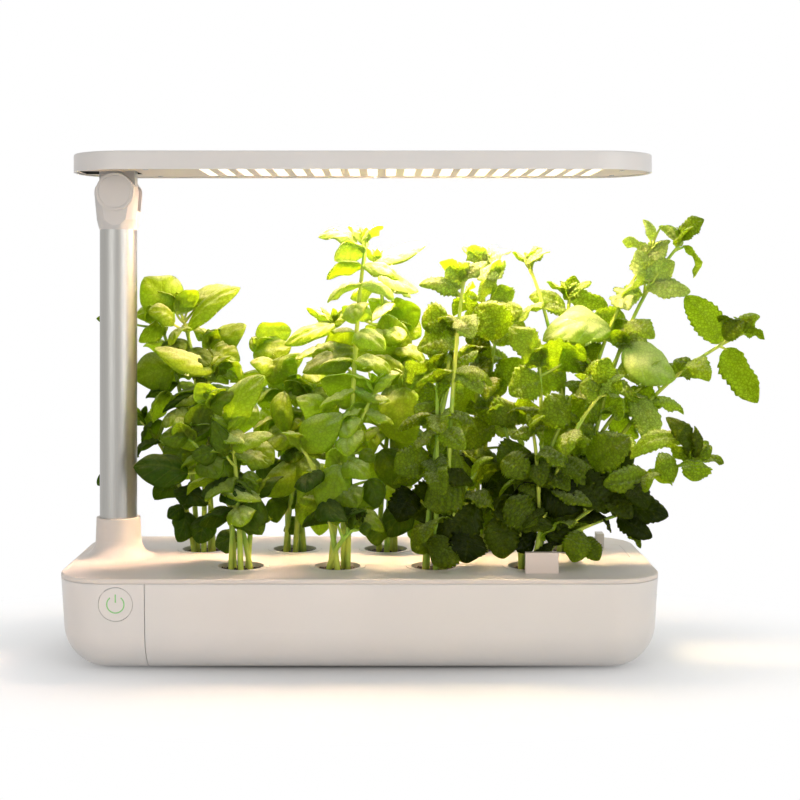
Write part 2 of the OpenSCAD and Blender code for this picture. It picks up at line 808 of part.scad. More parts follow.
module lamp_top_cover() {
    color("whitesmoke") translate([lamp_x, 0, 0]) difference() {
        union() {
            difference() {
                plate(lamp_length, lamp_depth, lamp_radius, lamp_z, lamp_top, lamp_edge);
                translate([0, 0, lamp_z - 1])
                    round_plate(lamp_length - 2 * lamp_wall, lamp_depth - 2 * lamp_wall,
                                lamp_radius - lamp_wall, cover_inner - lamp_z + 1);
            }
            for (p = panel_screw_spots)
                translate([p[0] - lamp_x, p[1], panel_z + panel_thickness])
                    cylinder(r = 2.8, h = cover_inner + 0.5 - panel_z - panel_thickness);
            for (sx = [-1, 1], sy = [-1, 1])
                translate([pole_x - lamp_x + sx * knuckle_screw[0], sy * knuckle_screw[1],
                           flange_z + flange_thickness])
                    cylinder(r = 2.8, h = cover_inner + 0.5 - flange_z - flange_thickness);
        }
        for (p = panel_screw_spots)
            translate([p[0] - lamp_x, p[1], lamp_z]) cylinder(r = 1.05, h = 9);
        for (sx = [-1, 1], sy = [-1, 1])
            translate([pole_x - lamp_x + sx * knuckle_screw[0], sy * knuckle_screw[1], lamp_z])
                cylinder(r = 1.05, h = 11.9);
    }
}

module panel_slab(height) {
    translate([lamp_x, 0, panel_z])
        round_plate(lamp_length - 2 * panel_inset, lamp_depth - 2 * panel_inset,
                    lamp_radius - panel_inset, height);
}

module lamp_bottom_panel() {
    color("whitesmoke") difference() {
        union() {
            panel_slab(panel_thickness);
            intersection() {
                panel_slab(pocket_ceiling + pocket_skin - panel_z);
                translate([pocket_x[0] - 10, -pocket_half - pocket_skin, panel_z])
                    cube([pocket_x[1] - pocket_x[0] + 10 + pocket_skin, 2 * (pocket_half + pocket_skin), 20]);
            }
        }
        translate([pocket_x[0], -pocket_half, lamp_z - 1])
            cube([pocket_x[1] - pocket_x[0], 2 * pocket_half, pocket_ceiling - lamp_z + 1]);
        translate([pole_x - tongue_radius - 0.3, -tongue_half - 0.3, lamp_z])
            cube([2 * tongue_radius + 0.6, 2 * tongue_half + 0.6, 20]);
        for (k = [0:window_count - 1])
            translate([window_first + k * window_pitch - window_width / 2, -window_length / 2, lamp_z])
                cube([window_width, window_length, 10]);
        for (p = panel_screw_spots)
            translate([p[0], p[1], lamp_z]) cylinder(r = 1.05, h = 10);
    }
}

module led_board() {
    color("gold")
        translate([window_first - 9, -window_length / 2 - 3, board_z])
            cube([(window_count - 1) * window_pitch + 18, window_length + 6, 1.2]);
}

module led_light_bars() {
    color("lightyellow")
        for (k = [0:window_count - 1])
            translate([window_first + k * window_pitch - window_width / 2 + 0.15,
                       -window_length / 2 + 0.15, panel_z + 0.3])
                cube([window_width - 0.3, window_length - 0.3, board_z - panel_z - 0.3]);
}

module panel_screws() {
    color("silver")
        for (p = panel_screw_spots)
            translate([p[0], p[1], panel_z]) screw(7, 1, 1.9, 0.7);
}

module knuckle() {
    color("whitesmoke") difference() {
        union() {
            hinge_bar(tongue_radius, -tongue_half, tongue_half);
            translate([pole_x - tongue_radius, -tongue_half, hinge_z])
                cube([2 * tongue_radius, 2 * tongue_half, flange_z + 0.5 - hinge_z]);
            translate([pole_x - flange_size[0] / 2, -flange_size[1] / 2, flange_z])
                cube([flange_size[0], flange_size[1], flange_thickness]);
        }
        hinge_bar(pin_radius + hole_play, -30, 30);
        translate([knuckle_lead_x, 0, hinge_z - 20]) cylinder(r = knuckle_lead_radius, h = 60);
        translate([knuckle_lead_x, -knuckle_lead_radius, flange_z - 0.8])
            cube([20, 2 * knuckle_lead_radius, 10]);
        for (sx = [-1, 1], sy = [-1, 1])
            translate([pole_x + sx * knuckle_screw[0], sy * knuckle_screw[1], flange_z - 1])
                cylinder(r = 1.05, h = 9);
    }
}

module knuckle_screws() {
    color("silver")
        for (sx = [-1, 1], sy = [-1, 1])
            translate([pole_x + sx * knuckle_screw[0], sy * knuckle_screw[1], flange_z]) screw(4, 1, 1.9, 1);
}

inner_lead_points = [[-167.4, 0, 324], [-167.4, 0, 332], [-167.4, 0, 340], [-167.2, 0, 346.5],
    [-166.4, 0, 349], [-164.4, 0, 350.4], [-160.5, 0, 350.9], [-154, 0, 350.8], [-146, 0, 350.2],
    [-137, 0, 349.2], [-128, 0, 348.4], [-120, 0, 348.2], [-114, 0, 348.2]];
module lamp_inner_lead() {
    color("black") lead(inner_lead_points, 1.3);
}

// ---------------------------------------------------------------- plants

stem_radius = 1.7;
stalk_radius = 1;
stalk_drop = 8;
leaf_thickness = 1.2;
leaf_steps = 4;
leaf_gain = 1.12;
stem_sides = 8;
stalk_sides = 6;
leaf_outline = [0.55, 0.7];
pair_spacing = 40;
pair_inset = 6;
pair_rise = 38;
pair_droop = 20;
pair_roll = 24;
top_pair = 0.75;
knot_radius = 2.4;
knot_half = 2.2;
pair_turn = 40;
plant_turn = 33;
basil_leaf = [32, 22];
mint_leaf = [30, 19];
first_mint = 6;
foliage_high = lamp_z - 4;
cell_gap = 0.3;

// Stem tips of each plant, chosen by hand: across, back, up
stem_tips = [
    [[-136, 32, 246], [-152, 36, 236], [-114, 42, 218], [-112, 18, 199], [-166, 42, 160]],
    [[-120, -46, 157], [-102, -48, 180], [-90, -49, 164], [-70, -48, 118], [-84, -34, 140]],
    [[-78, 40, 212], [-62, 26, 200], [-20, 20, 234], [-42, 26, 180], [-38, 16, 152]],
    [[4, -28, 292], [12, -40, 190], [-40, -50, 150], [-13, -52, 140], [0, -58, 98]],
    [[12, 20, 278], [30, 26, 205], [36, 40, 224], [32, 10, 190]],
    [[73, -33, 268], [68, -26, 230], [54, -30, 204], [81, -46, 134], [66, -34, 206]],
    [[90, 26, 280], [100, 18, 270], [84, 10, 240], [98, 8, 222]],
    [[126, -30, 208], [162, -36, 200], [168, -56, 190], [235, -44, 141], [100, -28, 168],
     [119, -53, 163], [186, -36, 103]],
    [[235, 12, 294], [156, 42, 254], [283, 16, 228], [194, 20, 218], [218, 20, 196],
     [124, 24, 276], [212, 16, 284]]];

// Grown leaves of each plant, chosen by hand: foot across, back, up; tip across, back, up; width; and how
// far the upper face turns from the sky (0) to the front (90)
leaves = [
    [[-135, 34, 247, -161, 26, 268, 31, 80], [-132, 40, 242, -99, 52, 261, 20, 25],
     [-129, 30, 228, -89, 22, 260, 20, 40], [-138, 24, 241, -120, 14, 258, 14, 70],
     [-124, 36, 245, -110, 30, 253, 14, 60], [-144, 26, 236, -164, 20, 220, 20, 60],
     [-151, 34, 242, -168, 30, 239, 15, 50], [-138, 20, 233, -156, 10, 242, 18, 45],
     [-138, 20, 200, -166, 18, 192, 30, 75], [-140, 24, 182, -153, 16, 161, 26, 80],
     [-108, 14, 199, -151, 8, 216, 24, 30], [-124, 20, 192, -105, 12, 203, 16, 60],
     [-116, 44, 218, -86, 36, 232, 26, 50], [-168, 40, 232, -198, 34, 237, 18, 40],
     [-172, 42, 122, -198, 38, 112, 18, 40], [-119, 30, 105, -139, 24, 110, 20, 60],
     [-116, 22, 92, -119, 16, 72, 18, 80], [-130, 30, 94, -136, 24, 72, 18, 75],
     [-132, 26, 98, -143, 22, 90, 12, 60], [-148, 36, 160, -163, 30, 144, 22, 60],
     [-121, 36, 184, -132, 30, 168, 22, 70], [-112, 24, 150, -96, 18, 132, 22, 70],
     [-126, 20, 148, -142, 14, 128, 22, 75], [-104, 30, 176, -88, 26, 160, 20, 70],
     [-112, 36, 214, -90, 30, 206, 24, 60], [-104, 26, 204, -88, 20, 190, 22, 70],
     [-118, 30, 206, -100, 26, 196, 22, 60]],
    [[-103, -48, 179, -85, -58, 189, 20, 50], [-102, -46, 180, -111, -52, 195, 16, 60],
     [-90, -48, 163, -65, -54, 200, 22, 70], [-118, -46, 157, -105, -52, 183, 18, 70],
     [-119, -46, 157, -138, -50, 157, 16, 60], [-119, -44, 131, -157, -46, 136, 26, 50],
     [-99, -54, 148, -115, -60, 145, 14, 60], [-88, -50, 150, -59, -58, 159, 20, 30],
     [-71, -48, 115, -76, -54, 90, 20, 80], [-96, -40, 142, -90, -34, 119, 18, 70],
     [-78, -42, 133, -73, -46, 113, 14, 70], [-92, -52, 144, -101, -56, 169, 14, 60],
     [-85, -22, 84, -103, -18, 76, 18, 50], [-108, -40, 150, -128, -36, 170, 20, 60],
     [-92, -40, 176, -70, -44, 168, 24, 65], [-100, -36, 168, -122, -32, 176, 22, 65],
     [-82, -38, 148, -60, -42, 138, 22, 70]],
    [[-42, 12, 150, -74, 6, 140, 22, 55], [-45, 14, 134, -75, 8, 110, 22, 65],
     [-56, 14, 184, -54, 8, 152, 16, 80], [-81, 40, 212, -52, 32, 216, 28, 55],
     [-18, 20, 234, -56, 14, 218, 16, 40], [-69, 30, 197, -43, 36, 210, 18, 40],
     [-62, 24, 200, -82, 18, 205, 18, 45], [-60, 30, 176, -80, 24, 183, 20, 60],
     [-43, 26, 179, -50, 20, 192, 16, 65], [-38, 26, 178, -26, 22, 188, 16, 60],
     [-34, 22, 168, -17, 16, 181, 20, 55], [-43, 16, 150, -48, 10, 165, 16, 60],
     [-61, 44, 161, -82, 40, 156, 26, 70], [-42, 30, 129, -45, 26, 110, 18, 80],
     [-47, 34, 108, -60, 30, 95, 18, 75], [-45, 34, 87, -58, 30, 79, 13, 75],
     [-66, 22, 105, -62, 18, 87, 18, 75], [-39, 24, 107, -43, 20, 84, 14, 70],
     [-29, 20, 105, -31, 16, 78, 20, 80], [-30, 36, 150, -52, 32, 138, 22, 70],
     [-74, 36, 132, -58, 30, 118, 20, 70], [-78, 36, 222, -52, 30, 228, 24, 50],
     [-70, 26, 204, -48, 20, 194, 24, 70], [-58, 22, 190, -34, 18, 182, 22, 70]],
    [[-2, -34, 215, -40, -44, 201, 24, 50], [12, -40, 189, -27, -50, 197, 26, 60],
     [-40, -50, 150, -12, -56, 174, 26, 70], [-14, -52, 139, -24, -58, 103, 24, 80],
     [-15, -60, 98, -17, -62, 109, 10, 60], [-9, -60, 98, -3, -64, 106, 10, 60],
     [0, -60, 95, 8, -62, 98, 9, 60], [-8, -44, 150, -2, -38, 165, 16, 60],
     [-9, -40, 142, -24, -34, 149, 16, 50], [8, -36, 185, 12, -32, 172, 16, 60],
     [1, -50, 148, 10, -54, 141, 12, 50], [5, -28, 285, -18, -32, 279, 22, 50],
     [-2, -26, 290, -30, -22, 296, 18, 25], [2, -28, 292, 10, -20, 303, 16, 60],
     [-24, -46, 172, -44, -50, 184, 20, 60], [2, -44, 164, -14, -50, 150, 20, 70],
     [-30, -40, 128, -42, -46, 110, 16, 75], [6, -46, 128, 12, -50, 108, 16, 75],
     [-10, -36, 206, -34, -30, 212, 22, 60], [6, -40, 176, -16, -46, 166, 22, 65],
     [-30, -36, 160, -44, -30, 148, 20, 70]],
    [[29, 26, 203, 17, 20, 241, 26, 85], [36, 40, 224, 26, 34, 253, 24, 80],
     [32, 14, 194, 8, 8, 210, 20, 60], [32, 6, 188, 39, 0, 148, 34, 88],
     [10, 20, 279, 48, 12, 292, 22, 30], [13, 18, 271, 42, 12, 257, 18, 35],
     [18, 30, 241, 5, 26, 252, 14, 60], [-6, 14, 240, -14, 10, 246, 10, 50],
     [15, 12, 142, 31, 6, 113, 22, 75], [40, 16, 140, 28, 12, 112, 24, 75],
     [37, 10, 100, 20, 4, 79, 22, 75], [12, 10, 92, 12, 6, 72, 18, 80],
     [39, 8, 94, 47, 2, 72, 20, 80], [4, 20, 112, -2, 16, 94, 18, 70],
     [20, 34, 172, -6, 28, 160, 24, 65], [22, 40, 130, 2, 36, 118, 22, 65],
     [26, 24, 156, 44, 18, 146, 20, 70], [10, 30, 150, -8, 26, 138, 20, 70],
     [26, 16, 218, 0, 10, 222, 24, 65], [20, 30, 236, 44, 26, 244, 24, 70],
     [12, 24, 214, -10, 20, 204, 22, 70], [24, 20, 176, 44, 14, 168, 22, 70]],
    [[69, -24, 227, 40, -30, 217, 26, 60], [50, -30, 203, 30, -36, 193, 26, 60],
     [69, -30, 255, 41, -36, 262, 18, 30], [67, -34, 258, 61, -38, 275, 14, 60],
     [74, -34, 268, 77, -30, 278, 9, 60], [62, -34, 205, 55, -40, 171, 18, 70],
     [53, -28, 172, 46, -24, 193, 16, 60], [82, -44, 135, 45, -50, 137, 28, 75],
     [80, -50, 113, 54, -56, 84, 28, 78], [78, -54, 92, 72, -60, 72, 24, 82],
     [60, -30, 118, 36, -36, 100, 28, 75], [70, -36, 150, 44, -44, 160, 26, 70],
     [56, -40, 96, 36, -46, 78, 22, 75], [48, -52, 142, 24, -56, 134, 22, 70],
     [38, -44, 118, 26, -50, 99, 20, 75], [70, -56, 128, 44, -62, 112, 26, 75],
     [62, -58, 88, 50, -64, 72, 24, 80], [76, -40, 164, 52, -46, 156, 22, 70],
     [62, -30, 240, 44, -26, 232, 22, 65], [64, -28, 192, 80, -24, 200, 20, 65],
     [58, -34, 164, 38, -38, 178, 20, 65]],
    [[97, 4, 222, 83, 0, 247, 26, 85], [84, 8, 240, 81, 2, 265, 24, 80],
     [85, 26, 279, 74, 20, 290, 12, 50], [92, 26, 280, 111, 20, 287, 14, 40],
     [94, 30, 273, 96, 26, 288, 12, 60], [110, 20, 248, 101, 14, 262, 18, 70],
     [100, 18, 271, 85, 14, 266, 14, 45], [97, 14, 240, 118, 8, 244, 20, 40],
     [97, 6, 161, 66, 0, 145, 20, 70], [88, 8, 201, 70, 2, 165, 24, 75],
     [105, 12, 168, 81, 6, 172, 20, 65], [104, 14, 188, 117, 8, 208, 18, 60],
     [95, 16, 218, 76, 12, 222, 16, 50], [95, 12, 207, 72, 8, 212, 18, 50],
     [100, 30, 130, 70, 24, 120, 28, 70], [80, 26, 104, 104, 20, 92, 26, 75],
     [92, 34, 120, 110, 30, 102, 24, 70], [74, 20, 110, 62, 16, 88, 20, 75],
     [88, 14, 130, 64, 10, 114, 24, 75], [104, 18, 144, 114, 12, 122, 18, 70],
     [90, 40, 92, 74, 36, 76, 20, 75], [100, 16, 262, 86, 10, 252, 22, 65],
     [112, 22, 232, 98, 18, 218, 22, 70], [86, 14, 192, 106, 10, 184, 22, 70]],
    [[125, -30, 208, 104, -36, 233, 21, 70], [161, -34, 200, 115, -42, 205, 26, 55],
     [143, -52, 182, 122, -58, 174, 24, 75], [145, -50, 186, 155, -54, 166, 20, 70],
     [168, -56, 191, 170, -60, 213, 16, 80], [169, -56, 188, 176, -60, 169, 18, 80],
     [163, -56, 187, 150, -60, 194, 16, 65], [169, -54, 190, 179, -58, 196, 16, 60],
     [226, -40, 154, 189, -34, 140, 16, 45], [231, -44, 142, 213, -40, 170, 14, 50],
     [233, -44, 142, 231, -48, 165, 11, 60], [232, -46, 141, 229, -52, 127, 20, 75],
     [233, -44, 141, 245, -40, 150, 11, 60], [235, -42, 140, 254, -38, 138, 10, 25],
     [219, -46, 138, 203, -52, 133, 20, 75], [201, -46, 130, 167, -54, 125, 19, 60],
     [181, -34, 103, 215, -40, 101, 20, 60], [181, -34, 101, 203, -44, 87, 16, 60],
     [186, -38, 92, 195, -42, 79, 9, 50], [100, -26, 169, 130, -32, 172, 22, 65],
     [91, -46, 108, 133, -54, 96, 20, 55], [160, -40, 138, 187, -46, 157, 26, 70],
     [130, -36, 121, 167, -42, 130, 28, 70], [128, -30, 150, 147, -34, 169, 26, 70],
     [109, -40, 138, 130, -46, 116, 24, 75], [172, -28, 128, 190, -30, 146, 20, 70],
     [119, -54, 163, 103, -58, 158, 10, 50], [119, -54, 163, 123, -58, 152, 9, 60],
     [98, -48, 103, 99, -54, 74, 22, 80], [135, -42, 98, 133, -46, 82, 22, 75],
     [153, -50, 92, 146, -56, 72, 18, 75], [157, -46, 88, 165, -50, 72, 14, 60],
     [112, -30, 118, 96, -34, 102, 24, 75], [114, -36, 150, 96, -42, 136, 24, 70],
     [140, -34, 108, 160, -38, 94, 24, 75], [100, -58, 114, 121, -64, 100, 24, 70],
     [98, -54, 142, 114, -60, 130, 20, 70], [124, -50, 122, 152, -56, 110, 28, 75],
     [130, -38, 114, 156, -34, 94, 28, 75], [150, -44, 126, 172, -50, 106, 26, 70],
     [168, -40, 130, 186, -44, 110, 24, 70], [106, -40, 94, 118, -44, 76, 20, 75],
     [126, -36, 196, 104, -40, 186, 24, 70], [140, -30, 206, 160, -26, 214, 22, 60],
     [110, -34, 176, 92, -38, 166, 22, 70]],
    [[185, 24, 228, 133, 16, 221, 30, 55], [194, 20, 217, 230, 12, 193, 32, 60],
     [231, 26, 206, 248, 22, 193, 16, 45], [155, 40, 253, 184, 34, 246, 20, 55],
     [153, 42, 244, 125, 36, 253, 20, 45], [157, 44, 251, 160, 40, 269, 12, 60],
     [213, 16, 295, 206, 12, 310, 9, 70], [218, 14, 305, 231, 10, 290, 10, 50],
     [235, 12, 295, 250, 8, 310, 14, 60], [235, 12, 291, 242, 8, 267, 13, 60],
     [209, 18, 266, 202, 14, 288, 18, 75], [210, 16, 263, 229, 10, 279, 18, 75],
     [211, 16, 282, 224, 12, 293, 13, 60], [206, 20, 258, 189, 16, 247, 20, 70],
     [209, 16, 259, 241, 12, 257, 16, 45], [265, 18, 219, 237, 12, 254, 21, 70],
     [267, 16, 222, 280, 12, 236, 14, 60], [280, 16, 227, 295, 12, 222, 13, 50],
     [281, 16, 227, 289, 12, 240, 11, 60], [267, 14, 216, 289, 8, 176, 25, 80],
     [216, 20, 195, 188, 14, 199, 20, 50], [198, 24, 186, 221, 18, 172, 18, 65],
     [197, 16, 181, 209, 10, 143, 20, 75], [122, 24, 277, 133, 18, 289, 14, 45],
     [150, 26, 150, 178, 20, 142, 26, 70], [152, 20, 118, 130, 14, 104, 24, 75],
     [170, 20, 112, 196, 14, 100, 24, 70], [160, 30, 186, 188, 24, 168, 24, 65],
     [150, 30, 200, 130, 24, 186, 22, 60], [142, 24, 132, 132, 20, 110, 20, 75],
     [160, 16, 98, 146, 12, 78, 20, 75], [158, 40, 140, 184, 36, 126, 26, 70],
     [150, 44, 114, 134, 40, 94, 22, 75], [176, 30, 150, 200, 26, 132, 22, 65],
     [136, 36, 170, 158, 30, 157, 24, 65], [196, 26, 236, 172, 30, 232, 26, 60],
     [210, 24, 226, 190, 20, 214, 24, 65], [180, 34, 214, 160, 30, 206, 24, 65],
     [176, 20, 176, 154, 16, 166, 26, 70], [186, 22, 166, 204, 18, 150, 22, 70]]];

// A stem rises first and leans out later: its middle point has gone sideways by a third only
function stem_base(i, k) = [pod_x(i) + 7 * cos(k * 137.5), pod_y(i) + 7 * sin(k * 137.5), sponge_top];
function stem_middle(a, b) = [a[0] + (b[0] - a[0]) * 0.35, a[1] + (b[1] - a[1]) * 0.35, a[2] + (b[2] - a[2]) * 0.6];
function stem_point(a, b, t) = let (m = stem_middle(a, b))
    t < 0.5 ? a + (m - a) * 2 * t : m + (b - m) * (2 * t - 1);
function stem_samples(i) = [
    for (k = [0:len(stem_tips[i - 1]) - 1], t = [0.1:0.05:1]) stem_point(stem_base(i, k), stem_tips[i - 1][k], t)];
function nearest(points, p) = let (far = [for (q = points) norm(q - p)], least = min(far))
    [for (n = [0:len(points) - 1]) if (far[n] == least) points[n]][0];

// Half width of a leaf as a part of its widest, at t of its length
function outline_at(t) = let (a = leaf_outline[0], b = leaf_outline[1])
    pow(t, a) * pow(1 - t, b) / (pow(a / (a + b), a) * pow(b / (a + b), b));

// The roll that turns a leaf's upper face by a share of the way from the sky to the front
function roll_to_front(along, facing) =
    let (level = unit([-along[1], along[0], 0]), up = cross(along, level))
    let (front = unit([0, -1, 0] + along[1] * along))
    atan2(-(front * level), front * up) * facing / 90;

// Flat leaf with a pointed tip, from the origin along +X
module leaf(size) {
    right = [for (k = [1:leaf_steps - 1]) [size[0] * k / leaf_steps, -size[1] / 2 * outline_at(k / leaf_steps)]];
    left = [for (k = [leaf_steps - 1:-1:1]) [size[0] * k / leaf_steps, size[1] / 2 * outline_at(k / leaf_steps)]];
    translate([0, 0, -leaf_thickness / 2]) linear_extrude(leaf_thickness)
        polygon(concat([[0, 1], [0, -1]], right, [[size[0], 0]], left));
}

// Leaf from the list, and the stalk that joins it to the nearest stem a little below it
module grown_leaf(row, samples) {
    foot = [row[0], row[1], row[2]];
    tip = [row[3], row[4], row[5]];
    along = unit(tip - foot);
    translate(foot) rotate([0, 0, atan2(along[1], along[0])]) rotate([0, -asin(along[2]), 0])
        rotate([roll_to_front(along, row[7]), 0, 0]) leaf([norm(tip - foot), leaf_gain * row[6]]);
    rod(nearest(samples, foot - [0, 0, stalk_drop]), foot + 2 * along, stalk_radius, stalk_sides);
}

// Stem in two straight lengths, with opposite pairs of smaller leaves
module stem(a, b, size, turn) {
    m = stem_middle(a, b);
    rod(a, m, stem_radius, stem_sides);
    rod(m - knot_half * unit(b - a), m + knot_half * unit(b - a), knot_radius, stem_sides);
    rod(m, b, stem_radius * 0.8, stem_sides);
    count = floor(norm(b - a) * 0.62 / pair_spacing);
    for (k = [0:count], side = [0, 180])
        translate(stem_point(a, b, 1 - (pair_inset + k * pair_spacing) / norm(b - a)))
            rotate([0, 0, turn + k * 90 + side]) rotate([0, (k == 0 ? -pair_rise : pair_droop), 0])
                rotate([pair_roll, 0, 0]) leaf(size * (k == 0 ? top_pair : 1));
}

// The room that one plant fills: it ends half way to its neighbours
module plant_cell(i) {
    first = i <= 2;
    last = i >= 8;
    low_x = first ? -202 : pod_x(i) - pod_pitch / 2 + cell_gap;
    high_x = last ? (i == 9 ? 298 : 262) : pod_x(i) + pod_pitch / 2 - cell_gap;
    low_y = i % 2 == 1 ? -3.5 + cell_gap : -86;
    high_y = i % 2 == 1 ? 86 : -3.5 - cell_gap;
    translate([low_x, low_y, sponge_top]) cube([high_x - low_x, high_y - low_y, foliage_high - sponge_top]);
}

module plant(i) {
    size = i < first_mint ? basil_leaf : mint_leaf;
    samples = stem_samples(i);
    color(i < first_mint ? "olivedrab" : "forestgreen") difference() {
        intersection() {
            union() {
                for (k = [0:len(stem_tips[i - 1]) - 1])
                    stem(stem_base(i, k), stem_tips[i - 1][k], size, pair_turn * k + plant_turn * i);
                for (row = leaves[i - 1]) grown_leaf(row, samples);
            }
            plant_cell(i);
        }
        translate([pole_x, 0, 0]) cylinder(r = shoulder_half + 1.7, h = 400);
    }
}

tank();
tank_feet();
control_housing();
housing_feet();
housing_screws();
control_board();
button_switch();
power_button();
power_symbol();
power_inlet();
board_screws();
deck();
refill_cap();
level_float();
grow_sponges();
pump_hanger();
pump_body();
pump_cover();
pump_rotor();
rotor_shaft();
outlet_pipe();
pump_screws();
pump_lead();
pole_tube();
pole_foot();
pole_foot_screws();
hinge_head();
hinge_pin();
hinge_nut();
friction_washers();
hinge_cap_front();
hinge_cap_rear();
lamp_lead();
knuckle();
knuckle_screws();
lamp_top_cover();
lamp_bottom_panel();
led_board();
led_light_bars();
panel_screws();
lamp_inner_lead();
for (i = [1:9]) {
    net_pot(i);
    plant(i);
}
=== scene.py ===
"""Countertop hydroponic garden: finishes for the CAD pieces, and grown basil and mint."""

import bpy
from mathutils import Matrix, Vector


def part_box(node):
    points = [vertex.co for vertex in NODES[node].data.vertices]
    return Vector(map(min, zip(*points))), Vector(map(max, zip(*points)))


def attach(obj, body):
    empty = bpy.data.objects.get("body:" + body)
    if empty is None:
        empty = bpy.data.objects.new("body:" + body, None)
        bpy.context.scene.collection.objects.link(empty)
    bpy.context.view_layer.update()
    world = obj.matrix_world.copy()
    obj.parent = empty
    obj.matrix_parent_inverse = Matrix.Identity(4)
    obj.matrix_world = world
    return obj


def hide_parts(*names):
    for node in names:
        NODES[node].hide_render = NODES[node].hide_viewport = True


bl_info = {
    "name": "Countertop hydroponic garden",
    "version": (1, 0, 0),
    "blender": (4, 5, 0),
    "location": "View3D > Sidebar > Garden",
    "description": "Finishes a planted herb garden and grows the basil and mint in its pods",
    "category": "Add Mesh",
}

from types import SimpleNamespace

import bpy
import numpy as np
from bpy.props import FloatProperty, FloatVectorProperty, IntProperty, PointerProperty

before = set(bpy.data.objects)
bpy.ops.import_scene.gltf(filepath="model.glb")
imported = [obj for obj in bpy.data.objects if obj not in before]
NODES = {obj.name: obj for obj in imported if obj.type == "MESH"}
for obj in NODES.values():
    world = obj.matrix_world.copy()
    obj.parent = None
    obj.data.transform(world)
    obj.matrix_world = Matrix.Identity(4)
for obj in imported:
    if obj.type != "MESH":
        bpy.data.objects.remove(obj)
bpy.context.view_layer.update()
MM = 0.001

tube_low, tube_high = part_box("pole_tube")
sponge_low, sponge_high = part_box("grow_sponges")
bars_low, bars_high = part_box("led_light_bars")
panel_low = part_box("lamp_bottom_panel")[0]
head_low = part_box("hinge_head")[0]
pot_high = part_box("net_pot_1")[1]

# Lit windows and the light chips behind them
WINDOW_COUNT = 22
WINDOW_WIDTH = 7.3 * MM
CHIP_PITCH = 5.1 * MM
CHIP_COLOUR = (1.0, 0.96, 0.86)
WINDOW_RIM_COLOUR = (0.72, 0.60, 0.34)

# Leaf and stem colours as gains on a herb's own colour, and the colours that are the same in every herb.
# The gains for young or lit and for old or shaded leaves are partly painted lamp light and shade, and the
# glare colour is a painted glare of the lamp
YOUNG_OR_LIT_GAINS = (3.1, 3.0, 6.0)
OLD_OR_SHADED_GAINS = (0.6, 1.0, 1.8)
DARK_GAIN = 0.3
GREENER_GAINS = (0.50, 0.72, 0.60)
PAINTED_GLARE_COLOUR = (0.70, 0.73, 0.40)
LIGHT_THROUGH = (0.80, 0.98, 0.10)
LIGHT_THROUGH_SHARE = 0.66


# ------------------------------------------------------------------ settings


def amount(name, description, default):
    """A setting that is a plain number of 0 or more."""
    return FloatProperty(name=name, description=description, default=default, min=0.0)


def size(name, description, default):
    """A setting that is a length in metres."""
    return FloatProperty(name=name, description=description, default=default, unit="LENGTH")


def tint(name, description, default):
    """A setting that is a colour."""
    return FloatVectorProperty(
        name=name, description=description, default=default, subtype="COLOR", min=0.0, max=1.0
    )


class GardenCameraSettings(bpy.types.PropertyGroup):
    """Where the camera stands and how it frames the garden."""

    distance: size("Distance", "From the lens to the middle plane", 1.085)
    height: size("Height", "Of the lens above the table", 0.265)
    sideways: size("Sideways", "Of the lens, from the base's middle", 0.016)
    focal_length: FloatProperty(
        name="Focal length", description="Of the lens, on a 36 mm wide sensor", default=67.5, unit="CAMERA"
    )
    shift_x: FloatProperty(name="Shift X", description="Sideways lens shift", default=0.02125)
    shift_y: FloatProperty(name="Shift Y", description="Upright lens shift", default=-0.14875)


class GardenLightSettings(bpy.types.PropertyGroup):
    """The lamps round the garden and its own grow lamp."""

    sky: amount("Sky", "Strength of the even light from all sides", 0.49)
    key: amount("Key lamp", "Power of the soft lamp at the front right, in watts", 6.6)
    fill: amount("Fill lamp", "Power of the soft lamp at the front left, in watts", 2.8)
    back: amount("Back lamp", "Power of the soft lamp behind the garden, in watts", 5.5)
    grow: amount("Grow lamp", "Strength of the lit windows under the lamp", 185.0)
    grow_seen: amount("Seen", "Strength of the lit windows as the camera sees them", 1.15)
    rosy: tint("Rosy", "Colour of the lit windows near the pole", (1.0, 0.58, 0.48))
    golden: tint("Golden", "Colour of the lit windows at the far end", (1.0, 0.79, 0.40))


class GardenPlasticSettings(bpy.types.PropertyGroup):
    """Colours of the moulded pieces and the metal."""

    shell: tint("Shell", "Colour of the base and lamp", (0.73, 0.70, 0.672))
    deck: tint("Deck", "Colour of the top plate", (0.71, 0.65, 0.595))
    symbol: tint("Symbol", "Colour of the lit power symbol", (0.20, 0.46, 0.17))
    aluminium: tint("Aluminium", "Colour of the pole tube", (0.405, 0.395, 0.37))


class GardenLeafSettings(bpy.types.PropertyGroup):
    """Sizes and colours of the leaves and stems."""

    basil_length: size("Basil length", "Of the basil leaves that stand in pairs", 0.032)
    basil_width: size("Basil width", "Of the basil leaves that stand in pairs", 0.022)
    mint_length: size("Mint length", "Of the mint leaves that stand in pairs", 0.030)
    mint_width: size("Mint width", "Of the mint leaves that stand in pairs", 0.019)
    stem_radius: size("Stem radius", "Of a stem where it leaves the pod", 0.0020)
    seed: IntProperty(name="Seed", description="Changes how the leaves fall", default=7, min=0)
    basil_colour: tint("Basil", "Upper face of a basil leaf", (0.143, 0.189, 0.007))
    mint_colour: tint("Mint", "Upper face of a mint leaf", (0.124, 0.168, 0.005))
    stem_colour: tint("Stem", "Colour of the pale stems", (0.62, 0.68, 0.10))


SETTINGS = {
    "garden_camera": GardenCameraSettings,
    "garden_light": GardenLightSettings,
    "garden_plastic": GardenPlasticSettings,
    "garden_leaf": GardenLeafSettings,
}


# ------------------------------------------------------------------ node helpers


def fill_inputs(tree, node, inputs):
    """Sets a node's inputs to numbers, vectors and colours, or links other nodes' outputs to them."""
    for name, value in inputs.items():
        socket = node.inputs[name]
        if isinstance(value, bpy.types.NodeSocket):
            tree.links.new(value, socket)
        elif socket.type == "RGBA":
            socket.default_value = (*value[:3], 1.0)
        else:
            socket.default_value = value


